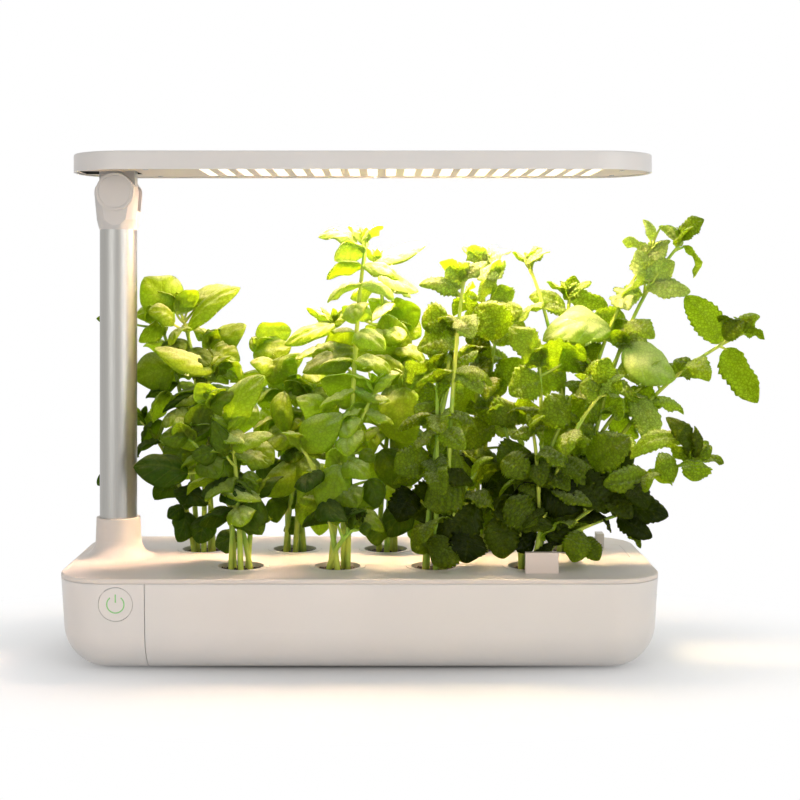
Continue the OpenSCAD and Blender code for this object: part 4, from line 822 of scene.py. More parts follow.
# Stem tips of each plant in millimetres: across, back, up
STEM_TIPS = {
    1: [(-136, 32, 246), (-152, 36, 236), (-114, 42, 218), (-112, 18, 199), (-166, 42, 160)],
    2: [(-120, -46, 157), (-102, -48, 180), (-90, -49, 164), (-70, -48, 118), (-84, -34, 140)],
    3: [(-78, 40, 212), (-62, 26, 200), (-20, 20, 234), (-42, 26, 180), (-38, 16, 152)],
    4: [(4, -28, 292), (12, -40, 190), (-40, -50, 150), (-13, -52, 140), (0, -58, 98)],
    5: [(12, 20, 278), (30, 26, 205), (36, 40, 224), (32, 10, 190)],
    6: [(73, -33, 268), (68, -26, 230), (54, -30, 204), (81, -46, 134), (66, -34, 206)],
    7: [(90, 26, 280), (100, 18, 270), (84, 10, 240), (98, 8, 222)],
    8: [(126, -30, 208), (162, -36, 200), (168, -56, 190), (235, -44, 141), (100, -28, 168),
        (119, -53, 163), (186, -36, 103)],
    9: [(235, 12, 294), (156, 42, 254), (283, 16, 228), (194, 20, 218), (218, 20, 196),
        (124, 24, 276), (212, 16, 284)],
}

# Grown leaves of each plant in millimetres: foot across, back, up; tip across, back, up; width; and how
# far the upper face turns from the sky (0) to the front (90)
LEAVES = {
    1: [
        (-135, 34, 247, -161, 26, 268, 31, 80), (-132, 40, 242, -99, 52, 261, 20, 25),
        (-129, 30, 228, -89, 22, 260, 20, 40), (-138, 24, 241, -120, 14, 258, 14, 70),
        (-124, 36, 245, -110, 30, 253, 14, 60), (-144, 26, 236, -164, 20, 220, 20, 60),
        (-151, 34, 242, -168, 30, 239, 15, 50), (-138, 20, 233, -156, 10, 242, 18, 45),
        (-138, 20, 200, -166, 18, 192, 30, 75), (-140, 24, 182, -153, 16, 161, 26, 80),
        (-108, 14, 199, -151, 8, 216, 24, 30), (-124, 20, 192, -105, 12, 203, 16, 60),
        (-116, 44, 218, -86, 36, 232, 26, 50), (-168, 40, 232, -198, 34, 237, 18, 40),
        (-172, 42, 122, -198, 38, 112, 18, 40), (-119, 30, 105, -139, 24, 110, 20, 60),
        (-116, 22, 92, -119, 16, 72, 18, 80), (-130, 30, 94, -136, 24, 72, 18, 75),
        (-132, 26, 98, -143, 22, 90, 12, 60), (-148, 36, 160, -163, 30, 144, 22, 60),
        (-121, 36, 184, -132, 30, 168, 22, 70), (-112, 24, 150, -96, 18, 132, 22, 70),
        (-126, 20, 148, -142, 14, 128, 22, 75), (-104, 30, 176, -88, 26, 160, 20, 70),
        (-112, 36, 214, -90, 30, 206, 24, 60), (-104, 26, 204, -88, 20, 190, 22, 70),
        (-118, 30, 206, -100, 26, 196, 22, 60),
    ],
    2: [
        (-103, -48, 179, -85, -58, 189, 20, 50), (-102, -46, 180, -111, -52, 195, 16, 60),
        (-90, -48, 163, -65, -54, 200, 22, 70), (-118, -46, 157, -105, -52, 183, 18, 70),
        (-119, -46, 157, -138, -50, 157, 16, 60), (-119, -44, 131, -157, -46, 136, 26, 50),
        (-99, -54, 148, -115, -60, 145, 14, 60), (-88, -50, 150, -59, -58, 159, 20, 30),
        (-71, -48, 115, -76, -54, 90, 20, 80), (-96, -40, 142, -90, -34, 119, 18, 70),
        (-78, -42, 133, -73, -46, 113, 14, 70), (-92, -52, 144, -101, -56, 169, 14, 60),
        (-85, -22, 84, -103, -18, 76, 18, 50), (-108, -40, 150, -128, -36, 170, 20, 60),
        (-92, -40, 176, -70, -44, 168, 24, 65), (-100, -36, 168, -122, -32, 176, 22, 65),
        (-82, -38, 148, -60, -42, 138, 22, 70),
    ],
    3: [
        (-42, 12, 150, -74, 6, 140, 22, 55), (-45, 14, 134, -75, 8, 110, 22, 65),
        (-56, 14, 184, -54, 8, 152, 16, 80), (-81, 40, 212, -52, 32, 216, 28, 55),
        (-18, 20, 234, -56, 14, 218, 16, 40), (-69, 30, 197, -43, 36, 210, 18, 40),
        (-62, 24, 200, -82, 18, 205, 18, 45), (-60, 30, 176, -80, 24, 183, 20, 60),
        (-43, 26, 179, -50, 20, 192, 16, 65), (-38, 26, 178, -26, 22, 188, 16, 60),
        (-34, 22, 168, -17, 16, 181, 20, 55), (-43, 16, 150, -48, 10, 165, 16, 60),
        (-61, 44, 161, -82, 40, 156, 26, 70), (-42, 30, 129, -45, 26, 110, 18, 80),
        (-47, 34, 108, -60, 30, 95, 18, 75), (-45, 34, 87, -58, 30, 79, 13, 75),
        (-66, 22, 105, -62, 18, 87, 18, 75), (-39, 24, 107, -43, 20, 84, 14, 70),
        (-29, 20, 105, -31, 16, 78, 20, 80), (-30, 36, 150, -52, 32, 138, 22, 70),
        (-74, 36, 132, -58, 30, 118, 20, 70), (-78, 36, 222, -52, 30, 228, 24, 50),
        (-70, 26, 204, -48, 20, 194, 24, 70), (-58, 22, 190, -34, 18, 182, 22, 70),
    ],
    4: [
        (-2, -34, 215, -40, -44, 201, 24, 50), (12, -40, 189, -27, -50, 197, 26, 60),
        (-40, -50, 150, -12, -56, 174, 26, 70), (-14, -52, 139, -24, -58, 103, 24, 80),
        (-15, -60, 98, -17, -62, 109, 10, 60), (-9, -60, 98, -3, -64, 106, 10, 60),
        (0, -60, 95, 8, -62, 98, 9, 60), (-8, -44, 150, -2, -38, 165, 16, 60),
        (-9, -40, 142, -24, -34, 149, 16, 50), (8, -36, 185, 12, -32, 172, 16, 60),
        (1, -50, 148, 10, -54, 141, 12, 50), (5, -28, 285, -18, -32, 279, 22, 50),
        (-2, -26, 290, -30, -22, 296, 18, 25), (2, -28, 292, 10, -20, 303, 16, 60),
        (-24, -46, 172, -44, -50, 184, 20, 60), (2, -44, 164, -14, -50, 150, 20, 70),
        (-30, -40, 128, -42, -46, 110, 16, 75), (6, -46, 128, 12, -50, 108, 16, 75),
        (-10, -36, 206, -34, -30, 212, 22, 60), (6, -40, 176, -16, -46, 166, 22, 65),
        (-30, -36, 160, -44, -30, 148, 20, 70),
    ],
    5: [
        (29, 26, 203, 17, 20, 241, 26, 85), (36, 40, 224, 26, 34, 253, 24, 80),
        (32, 14, 194, 8, 8, 210, 20, 60), (32, 6, 188, 39, 0, 148, 34, 88),
        (10, 20, 279, 48, 12, 292, 22, 30), (13, 18, 271, 42, 12, 257, 18, 35),
        (18, 30, 241, 5, 26, 252, 14, 60), (-6, 14, 240, -14, 10, 246, 10, 50),
        (15, 12, 142, 31, 6, 113, 22, 75), (40, 16, 140, 28, 12, 112, 24, 75),
        (37, 10, 100, 20, 4, 79, 22, 75), (12, 10, 92, 12, 6, 72, 18, 80),
        (39, 8, 94, 47, 2, 72, 20, 80), (4, 20, 112, -2, 16, 94, 18, 70),
        (20, 34, 172, -6, 28, 160, 24, 65), (22, 40, 130, 2, 36, 118, 22, 65),
        (26, 24, 156, 44, 18, 146, 20, 70), (10, 30, 150, -8, 26, 138, 20, 70),
        (26, 16, 218, 0, 10, 222, 24, 65), (20, 30, 236, 44, 26, 244, 24, 70),
        (12, 24, 214, -10, 20, 204, 22, 70), (24, 20, 176, 44, 14, 168, 22, 70),
    ],
    6: [
        (69, -24, 227, 40, -30, 217, 26, 60), (50, -30, 203, 30, -36, 193, 26, 60),
        (69, -30, 255, 41, -36, 262, 18, 30), (67, -34, 258, 61, -38, 275, 14, 60),
        (74, -34, 268, 77, -30, 278, 9, 60), (62, -34, 205, 55, -40, 171, 18, 70),
        (53, -28, 172, 46, -24, 193, 16, 60), (82, -44, 135, 45, -50, 137, 28, 75),
        (80, -50, 113, 54, -56, 84, 28, 78), (78, -54, 92, 72, -60, 72, 24, 82),
        (60, -30, 118, 36, -36, 100, 28, 75), (70, -36, 150, 44, -44, 160, 26, 70),
        (56, -40, 96, 36, -46, 78, 22, 75), (48, -52, 142, 24, -56, 134, 22, 70),
        (38, -44, 118, 26, -50, 99, 20, 75), (70, -56, 128, 44, -62, 112, 26, 75),
        (62, -58, 88, 50, -64, 72, 24, 80), (76, -40, 164, 52, -46, 156, 22, 70),
        (62, -30, 240, 44, -26, 232, 22, 65), (64, -28, 192, 80, -24, 200, 20, 65),
        (58, -34, 164, 38, -38, 178, 20, 65),
    ],
    7: [
        (97, 4, 222, 83, 0, 247, 26, 85), (84, 8, 240, 81, 2, 265, 24, 80),
        (85, 26, 279, 74, 20, 290, 12, 50), (92, 26, 280, 111, 20, 287, 14, 40),
        (94, 30, 273, 96, 26, 288, 12, 60), (110, 20, 248, 101, 14, 262, 18, 70),
        (100, 18, 271, 85, 14, 266, 14, 45), (97, 14, 240, 118, 8, 244, 20, 40),
        (97, 6, 161, 66, 0, 145, 20, 70), (88, 8, 201, 70, 2, 165, 24, 75),
        (105, 12, 168, 81, 6, 172, 20, 65), (104, 14, 188, 117, 8, 208, 18, 60),
        (95, 16, 218, 76, 12, 222, 16, 50), (95, 12, 207, 72, 8, 212, 18, 50),
        (100, 30, 130, 70, 24, 120, 28, 70), (80, 26, 104, 104, 20, 92, 26, 75),
        (92, 34, 120, 110, 30, 102, 24, 70), (74, 20, 110, 62, 16, 88, 20, 75),
        (88, 14, 130, 64, 10, 114, 24, 75), (104, 18, 144, 114, 12, 122, 18, 70),
        (90, 40, 92, 74, 36, 76, 20, 75), (100, 16, 262, 86, 10, 252, 22, 65),
        (112, 22, 232, 98, 18, 218, 22, 70), (86, 14, 192, 106, 10, 184, 22, 70),
    ],
    8: [
        (125, -30, 208, 104, -36, 233, 21, 70), (161, -34, 200, 115, -42, 205, 26, 55),
        (143, -52, 182, 122, -58, 174, 24, 75), (145, -50, 186, 155, -54, 166, 20, 70),
        (168, -56, 191, 170, -60, 213, 16, 80), (169, -56, 188, 176, -60, 169, 18, 80),
        (163, -56, 187, 150, -60, 194, 16, 65), (169, -54, 190, 179, -58, 196, 16, 60),
        (226, -40, 154, 189, -34, 140, 16, 45), (231, -44, 142, 213, -40, 170, 14, 50),
        (233, -44, 142, 231, -48, 165, 11, 60), (232, -46, 141, 229, -52, 127, 20, 75),
        (233, -44, 141, 245, -40, 150, 11, 60), (235, -42, 140, 254, -38, 138, 10, 25),
        (219, -46, 138, 203, -52, 133, 20, 75), (201, -46, 130, 167, -54, 125, 19, 60),
        (181, -34, 103, 215, -40, 101, 20, 60), (181, -34, 101, 203, -44, 87, 16, 60),
        (186, -38, 92, 195, -42, 79, 9, 50), (100, -26, 169, 130, -32, 172, 22, 65),
        (91, -46, 108, 133, -54, 96, 20, 55), (160, -40, 138, 187, -46, 157, 26, 70),
        (130, -36, 121, 167, -42, 130, 28, 70), (128, -30, 150, 147, -34, 169, 26, 70),
        (109, -40, 138, 130, -46, 116, 24, 75), (172, -28, 128, 190, -30, 146, 20, 70),
        (119, -54, 163, 103, -58, 158, 10, 50), (119, -54, 163, 123, -58, 152, 9, 60),
        (98, -48, 103, 99, -54, 74, 22, 80), (135, -42, 98, 133, -46, 82, 22, 75),
        (153, -50, 92, 146, -56, 72, 18, 75), (157, -46, 88, 165, -50, 72, 14, 60),
        (112, -30, 118, 96, -34, 102, 24, 75), (114, -36, 150, 96, -42, 136, 24, 70),
        (140, -34, 108, 160, -38, 94, 24, 75), (100, -58, 114, 121, -64, 100, 24, 70),
        (98, -54, 142, 114, -60, 130, 20, 70), (124, -50, 122, 152, -56, 110, 28, 75),
        (130, -38, 114, 156, -34, 94, 28, 75), (150, -44, 126, 172, -50, 106, 26, 70),
        (168, -40, 130, 186, -44, 110, 24, 70), (106, -40, 94, 118, -44, 76, 20, 75),
        (126, -36, 196, 104, -40, 186, 24, 70), (140, -30, 206, 160, -26, 214, 22, 60),
        (110, -34, 176, 92, -38, 166, 22, 70),
    ],
    9: [
        (185, 24, 228, 133, 16, 221, 30, 55), (194, 20, 217, 230, 12, 193, 32, 60),
        (231, 26, 206, 248, 22, 193, 16, 45), (155, 40, 253, 184, 34, 246, 20, 55),
        (153, 42, 244, 125, 36, 253, 20, 45), (157, 44, 251, 160, 40, 269, 12, 60),
        (213, 16, 295, 206, 12, 310, 9, 70), (218, 14, 305, 231, 10, 290, 10, 50),
        (235, 12, 295, 250, 8, 310, 14, 60), (235, 12, 291, 242, 8, 267, 13, 60),
        (209, 18, 266, 202, 14, 288, 18, 75), (210, 16, 263, 229, 10, 279, 18, 75),
        (211, 16, 282, 224, 12, 293, 13, 60), (206, 20, 258, 189, 16, 247, 20, 70),
        (209, 16, 259, 241, 12, 257, 16, 45), (265, 18, 219, 237, 12, 254, 21, 70),
        (267, 16, 222, 280, 12, 236, 14, 60), (280, 16, 227, 295, 12, 222, 13, 50),
        (281, 16, 227, 289, 12, 240, 11, 60), (267, 14, 216, 289, 8, 176, 25, 80),
        (216, 20, 195, 188, 14, 199, 20, 50), (198, 24, 186, 221, 18, 172, 18, 65),
        (197, 16, 181, 209, 10, 143, 20, 75), (122, 24, 277, 133, 18, 289, 14, 45),
        (150, 26, 150, 178, 20, 142, 26, 70), (152, 20, 118, 130, 14, 104, 24, 75),
        (170, 20, 112, 196, 14, 100, 24, 70), (160, 30, 186, 188, 24, 168, 24, 65),
        (150, 30, 200, 130, 24, 186, 22, 60), (142, 24, 132, 132, 20, 110, 20, 75),
        (160, 16, 98, 146, 12, 78, 20, 75), (158, 40, 140, 184, 36, 126, 26, 70),
        (150, 44, 114, 134, 40, 94, 22, 75), (176, 30, 150, 200, 26, 132, 22, 65),
        (136, 36, 170, 158, 30, 157, 24, 65), (196, 26, 236, 172, 30, 232, 26, 60),
        (210, 24, 226, 190, 20, 214, 24, 65), (180, 34, 214, 160, 30, 206, 24, 65),
        (176, 20, 176, 154, 16, 166, 26, 70), (186, 22, 166, 204, 18, 150, 22, 70),
    ],
}

# Stems: how they turn on round the pod, how far out and how deep in it they stand, how far along and up
# their middles are, and how far some bend to the front
GOLDEN_ANGLE = np.radians(137.5)
STEM_RING = 7 * MM
STEM_DEPTH = 1 * MM
STEM_MIDDLE = np.array([0.35, 0.35, 0.6])
FRONT_BEND = {4: 8 * MM, 6: 18 * MM, 8: 9 * MM}

# Round stems and stalks: rows along and points around, a tip's share of the foot's radius, height of the
# ribs, a direction that no stem runs in, and a stalk's share of its plant's stem radius
STEM_ROWS = 26
STEM_TAPER = 0.55
STEM_AROUND = 10
STEM_RIB = 0.07
STEM_ASKEW = np.array([0.13, 1.0, 0.07])
STALK_ROWS = 9
STALK_SHARE = 0.6

# Stalks of listed leaves: how far below a leaf they leave the stem, the places on it that they may leave
# from, how far they run into the leaf, and how they bend and sag on their way
STALK_FALL = 8 * MM
STALK_PLACES = np.linspace(0.1, 1.0, 19)
STALK_OVERLAP = 1.5 * MM
STALK_BEND = 0.12
STALK_SAG = np.array([0.0, 0.0, -0.06])

# Listed leaves: gain on their widths; the height above which every second one that faces the front by
# more than a half shows its underside; and how far it turns away
LEAF_GAIN = 1.12
TURNED_HEIGHT = 150 * MM
TURNED_FACING = 45
TURNED_SHARE = 0.85

# Mint leaves that are wider and higher than this are broad and smooth
BROAD_LEAF = 30 * MM
BROAD_HEIGHT = 200 * MM

# Leaves in pairs: spacing along the stem, place of the first pair, share of the stem that bears them,
# how they droop and roll, and how many degrees each plant's and each stem's pairs are turned on. The
# youngest pair climbs and is smaller.
PAIR_SPACING = 40 * MM
PAIR_INSET = 6 * MM
PAIRED_SHARE = 0.62
PAIR_DROOP = np.radians(20)
PAIR_ROLL = np.radians(24)
PLANT_TURN = 33
STEM_TURN = 40
YOUNG_CLIMB = np.radians(38)
YOUNG_SIZE = 0.75

# Pairs between the pairs: their size, how much lower and further round they stand, and from which height
# on they grow. In mint they end below the open height.
INNER_SIZE = 0.85
INNER_SHIFT = 0.5
INNER_TURN = np.pi / 4
INNER_HEIGHT = 105 * MM
OPEN_HEIGHT = 150 * MM

# The four leaves of a bud: their size, how they climb, how they differ and how slender they are, and how
# far each stem's bud is turned on
BUD_SIZE = 0.42
BUD_CLIMBS = np.radians([70.0, 48.0, 66.0, 52.0])
BUD_SIZES = [0.8, 1.15, 0.9, 1.0]
BUD_WIDTH = 0.5
BUD_TURN = 0.7


def pod_centre(number):
    """Where a pod stands, in metres: odd pods in the back row, even ones in the front row."""
    return np.array([FIRST_POD + (number - 1) * POD_PITCH / 2, ROW_Y[number % 2], 0.0]) * MM


def stem_curves(number):
    """Feet, control points and tips of a plant's stems, as quadratic curves that lean out late.

    The feet stand in a spiral on the pod. A plant with a front bend has its middles nearer the front.
    """
    tips = np.array(STEM_TIPS[number], float) * MM
    turn = GOLDEN_ANGLE * np.arange(len(tips))
    feet = pod_centre(number) + STEM_RING * np.stack((np.cos(turn), np.sin(turn), 0 * turn), axis=-1)
    feet[:, 2] = sponge_high.z - STEM_DEPTH
    middle = feet + (tips - feet) * STEM_MIDDLE
    middle[:, 1] -= FRONT_BEND.get(number, 0.0)
    return feet, 2 * middle - (feet + tips) / 2, tips


def curve_point(curves, t):
    """Points (1 - t)^2 foot + 2 t (1 - t) bend + t^2 tip, for t of shape (stem, place)."""
    feet, bends, tips = curves
    t = t[..., None]
    return (1 - t) ** 2 * feet[:, None] + 2 * t * (1 - t) * bends[:, None] + t**2 * tips[:, None]


def curve_slope(curves, t):
    """Unit directions of the stems at t."""
    feet, bends, tips = curves
    t = t[..., None]
    return unit(2 * (1 - t) * (bends - feet)[:, None] + 2 * t * (tips - bends)[:, None])


def ribbed_tubes(curves, foot_radius, tip_radius, rows):
    """Closed tubes along quadratic curves, with four soft ribs, like the stems of the mint family.

    A ring of points square to the curve at each t, its radius falling evenly from foot to tip. The tube's
    last point lies half a radius beyond the tip.
    """
    feet, _, tips = curves
    t = np.broadcast_to(np.linspace(0.0, 1.0, rows), (len(tips), rows))
    slope = curve_slope(curves, t)
    side = unit(np.cross(slope, STEM_ASKEW))
    other = np.cross(slope, side)
    angle = circle(STEM_AROUND)
    radius = foot_radius + (tip_radius - foot_radius) * t
    thick = radius[..., None] * (1 + STEM_RIB * np.cos(4 * angle))
    rings = (curve_point(curves, t)[:, :, None] + side[:, :, None] * (thick * np.cos(angle))[..., None]
             + other[:, :, None] * (thick * np.sin(angle))[..., None])
    uv = tube_uv(t[..., None], angle / (2 * np.pi))
    return rings, feet, tips + slope[:, -1] * tip_radius * 0.5, uv


def grown_leaves(number):
    """Feet, tips, widths and rolls of the plant's listed leaves.

    Every second one of the high ones shows its underside, so that the lamp shines through it.
    """
    rows = np.array(LEAVES[number], float)
    foot, tip, width, facing = rows[:, :3] * MM, rows[:, 3:6] * MM, rows[:, 6] * LEAF_GAIN * MM, rows[:, 7]
    second = np.arange(len(rows)) % 2 == 1
    turned_away = second & (foot[:, 2] > TURNED_HEIGHT) & (facing > TURNED_FACING) & (width < BROAD_LEAF)
    facing = np.where(turned_away, -TURNED_SHARE * facing, facing)
    return foot, tip, width, roll_to_front(unit(tip - foot), facing)


def paired_leaves(number, length, width, shift=0.0, turn=0.0):
    """Feet, tips, widths and rolls of the smaller leaves that stand in opposite pairs along the stems.

    Pairs are evenly spaced down from each tip, each a quarter turn on from the last. With a shift, every
    pair stands that share of the spacing lower.
    """
    feet, bends, tips = stem_curves(number)
    reach = np.linalg.norm(tips - feet, axis=-1)
    count = np.floor(reach * PAIRED_SHARE / PAIR_SPACING - shift).astype(int).clip(0)
    stem_of = np.repeat(np.arange(len(tips)), (count + 1) * 2)
    pair = np.concatenate([np.repeat(np.arange(n + 1), 2) for n in count])
    across = np.tile([0.0, np.pi], len(pair) // 2)
    t = 1 - (PAIR_INSET + (pair + shift) * PAIR_SPACING) / reach[stem_of]
    foot = curve_point((feet[stem_of], bends[stem_of], tips[stem_of]), t[:, None])[:, 0]
    heading = np.radians(PLANT_TURN * number + STEM_TURN * stem_of) + np.pi / 2 * pair + across + turn
    young = pair + shift == 0
    size = np.where(young, YOUNG_SIZE, 1.0)
    direction = heading_up(np.where(young, YOUNG_CLIMB, -PAIR_DROOP), heading)
    return foot, foot + direction * (length * size)[:, None], width * size, np.full(len(pair), PAIR_ROLL)


def bud_leaves(number, length):
    """Feet, tips, widths and rolls of the four small leaves that close up at each stem's tip."""
    tips = stem_curves(number)[2]
    leaves = len(BUD_SIZES)
    heading = np.tile(circle(leaves), len(tips)) + np.repeat(np.arange(len(tips)), leaves) * BUD_TURN
    foot = np.repeat(tips, leaves, axis=0)
    size = length * np.tile(BUD_SIZES, len(tips))
    direction = heading_up(np.tile(BUD_CLIMBS, len(tips)), heading)
    return foot, foot + direction * size[:, None], size * BUD_WIDTH, np.zeros(len(foot))


def leaf_tone(kind, foot, length, rng):
    """How light each leaf is, from 0 for old or shaded and dark to 2 for a painted glare.

    A random share, and more for leaves that are short and young. The rest is painted lamp light and shade:
    more for leaves high up, in the open or close under the lamp, and less for the ones round the pole and
    out past the lamp's far end.
    """
    across, up = foot[:, 0], foot[:, 2]
    outer = smoothstep(across, *OUTER_PLACES)
    tone = rng.normal(TONE_MIDDLE, TONE_SPREAD, len(foot)) + SHORT_GAIN * (SHORT_LEAF - length).clip(0.0)
    tone += HIGH_GAIN * smoothstep(up, *kind.light_heights)
    tone += OPEN_GAIN * smoothstep(across, *OPEN_PLACES)
    tone -= SHADE_LOSS * (1 - smoothstep(across, *SHADED_PLACES))
    tone -= OUTER_LOSS * outer
    tone += PAINTED_GLARE_GAIN * smoothstep(up, *PAINTED_GLARE_HEIGHTS) * (1 - outer)
    return np.clip(tone, 0.0, 2.0)


def leaf_habits(kind, foot, tip, width, roll, rng):
    """Where each leaf runs, how it bends, cups and waves, and how light its green is."""
    count = len(foot)
    length = np.linalg.norm(tip - foot, axis=-1)
    return {
        "foot": foot,
        "direction": unit(tip - foot),
        "length": length,
        "width": width,
        "roll": roll,
        "arch": rng.uniform(*ARCH, count),
        "sway": rng.normal(0.0, SWAY, count),
        "twist": rng.normal(0.0, TWIST, count),
        "cup": rng.uniform(*kind.cup, count),
        "wave": rng.uniform(*kind.wave, count),
        "phase": rng.uniform(0.0, 2 * np.pi, count),
        "tone": leaf_tone(kind, foot, length, rng),
    }


def leaf_stalks(number, foot, direction):
    """Curves of the stalks that join listed leaves to the nearest stem, a little below each leaf."""
    curves = stem_curves(number)
    t = np.broadcast_to(STALK_PLACES, (len(curves[0]), len(STALK_PLACES)))
    samples = curve_point(curves, t).reshape(-1, 3)
    below = foot - np.array([0.0, 0.0, STALK_FALL])
    start = samples[np.linalg.norm(below[:, None] - samples[None], axis=-1).argmin(axis=1)]
    end = foot + direction * STALK_OVERLAP
    reach = np.linalg.norm(end - start, axis=-1, keepdims=True)
    bend = (start + end) / 2 - direction * reach * STALK_BEND + STALK_SAG * reach
    return start, bend, end


def plant_piece(piece, number):
    """Makes a piece move with the deck and stand in for its plant's CAD node."""
    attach(piece, "garden_top")
    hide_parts(f"plant_{number}")


def make_leaves(name, kind, sets, rng, material):
    """One piece of leaves of a kind, from sets of feet, tips, widths and rolls."""
    columns = (np.concatenate(column) for column in zip(*sets))
    rings, starts, ends, uv, points = grow_leaves(kind, leaf_habits(kind, *columns, rng))
    vertices, quads, triangles = capped_tubes(rings, starts, ends)
    return mesh_piece(name, keep_clear(vertices), quads, triangles, material, uv, points)


def make_stems(name, curves, foot_radius, tip_radius, rows, material):
    """One piece of stems or stalks along curves."""
    rings, starts, ends, uv = ribbed_tubes(curves, foot_radius, tip_radius, rows)
    return mesh_piece(name, *capped_tubes(rings, starts, ends), material, uv)


def make_plant(number, herb, kind, length, width, seed, radius, stalk, blade, broad_blade=None):
    """One pod's plant in place of its CAD node: leaves, broad leaves where it has any, stems and stalks."""
    rng = np.random.default_rng(seed + 100 * number)
    listed = grown_leaves(number)
    broad = (listed[2] > BROAD_LEAF) & (listed[0][:, 2] > BROAD_HEIGHT) & (kind is MINT)
    inner = paired_leaves(number, length * INNER_SIZE, width, INNER_SHIFT, INNER_TURN)
    height = inner[0][:, 2]
    kept = (height > INNER_HEIGHT) & ((height < OPEN_HEIGHT) | (kind is BASIL))
    sets = [
        tuple(column[~broad] for column in listed),
        paired_leaves(number, length, width),
        tuple(column[kept] for column in inner),
        bud_leaves(number, length * BUD_SIZE),
    ]
    plant_piece(make_leaves(f"{herb}_leaves_{number}", kind, sets, rng, blade), number)
    if broad.any():
        smooth = tuple(column[broad] for column in listed)
        leaves = make_leaves(f"broad_leaves_{number}", BASIL, [smooth], rng, broad_blade)
        plant_piece(leaves, number)
    stems = stem_curves(number)
    stalks = leaf_stalks(number, listed[0], unit(listed[1] - listed[0]))
    for label, curves, foot_radius, tip_radius, rows in (
        ("stems", stems, radius, radius * STEM_TAPER, STEM_ROWS),
        ("stalks", stalks, radius * STALK_SHARE, STALK_RADIUS, STALK_ROWS),
    ):
        piece = make_stems(f"{herb}_{label}_{number}", curves, foot_radius, tip_radius, rows, stalk)
        plant_piece(piece, number)


# ------------------------------------------------------------------ operators


class GARDEN_OT_stage(bpy.types.Operator):
    """Sets the camera, the lamps, the sky and the floor."""

    bl_idname = "garden.stage"
    bl_label = "Stage and camera"

    def execute(self, context):
        scene = context.scene
        light = scene.garden_light
        self.set_camera(scene, scene.garden_camera)
        self.set_sky(scene, light.sky)
        self.soft_lamp("key_lamp", light.key, 0.9, (0.95, -1.15, 0.50))
        self.soft_lamp("fill_lamp", light.fill, 0.8, (-0.9, -1.15, 0.30))
        self.soft_lamp("back_lamp", light.back, 0.8, (0.10, 1.00, 1.20))
        self.make_floor()
        scene.view_settings.view_transform = "Standard"
        return {"FINISHED"}

    def set_camera(self, scene, settings):
        """A camera that looks straight back, with the garden shifted into the middle of the view."""
        lens = bpy.data.cameras.new("camera")
        lens.sensor_width = 36.0
        lens.lens = settings.focal_length
        lens.shift_x = settings.shift_x
        lens.shift_y = settings.shift_y
        camera = bpy.data.objects.new("camera", lens)
        camera.location = (settings.sideways, -settings.distance, settings.height)
        camera.rotation_euler = (np.pi / 2, 0.0, 0.0)
        scene.collection.objects.link(camera)
        scene.camera = camera

    def set_sky(self, scene, strength):
        """White to the camera, mirrors and glass, and an even soft light to everything else."""
        world = bpy.data.worlds.new("sky")
        world.use_nodes = True
        tree = world.node_tree
        tree.nodes.clear()
        soft, white = (
            add_node(tree, "ShaderNodeBackground", {"Color": (1.0, 1.0, 1.0), "Strength": value})
            for value in (strength, 1.0)
        )
        end = add_node(tree, "ShaderNodeOutputWorld")
        mix_shaders(tree, seen_straight(tree), soft.outputs["Background"], white.outputs["Background"], end)
        scene.world = world

    def soft_lamp(self, name, power, size, place):
        """A square lamp that the camera doesn't see, aimed at the middle of the garden."""
        aimed_at = np.array([0.0, 0.0, 0.15])
        lamp = bpy.data.lights.new(name, "AREA")
        lamp.energy = power
        lamp.size = size
        source = bpy.data.objects.new(name, lamp)
        source.visible_camera = False
        source.location = place
        aim = aimed_at - np.array(place)
        level = np.hypot(aim[0], aim[1])
        source.rotation_euler = (np.arctan2(level, -aim[2]), 0.0, np.arctan2(aim[1], aim[0]) - np.pi / 2)
        bpy.context.scene.collection.objects.link(source)

    def make_floor(self):
        """A wide disc, white to the camera far away, and plain near the garden, where it takes shadows."""
        radius, edges, grey = 6.0, 96, (0.86, 0.86, 0.86)
        plain_to, white_from, wider = 0.06, 0.23, (0.55, 1.0, 1.0)
        angle = circle(edges)
        rim = np.stack((np.cos(angle), np.sin(angle), 0 * angle), axis=-1) * radius
        vertices = np.concatenate((rim, [[0.0, 0.0, 0.0]]))
        material = bpy.data.materials.new("pale_floor")
        material.use_nodes = True
        tree = material.node_tree
        tree.nodes.clear()
        oval = add_node(tree, "ShaderNodeMapping", {"Vector": object_place(tree), "Scale": wider})
        distance = add_node(tree, "ShaderNodeVectorMath", {0: oval.outputs["Vector"]}, operation="LENGTH")
        far = map_range(tree, distance.outputs["Value"], plain_to, white_from)
        plain = add_node(tree, "ShaderNodeBsdfDiffuse", {"Color": grey})
        white = add_node(tree, "ShaderNodeEmission", {"Strength": 1.0})
        end = add_node(tree, "ShaderNodeOutputMaterial")
        mix_shaders(tree, times(tree, far, seen_straight(tree)), plain.outputs["BSDF"],
                    white.outputs["Emission"], end)
        no_quads = np.empty((0, 4), dtype=int)
        floor = mesh_piece("floor", vertices, no_quads, fan_faces(edges, 0, edges, False), material)


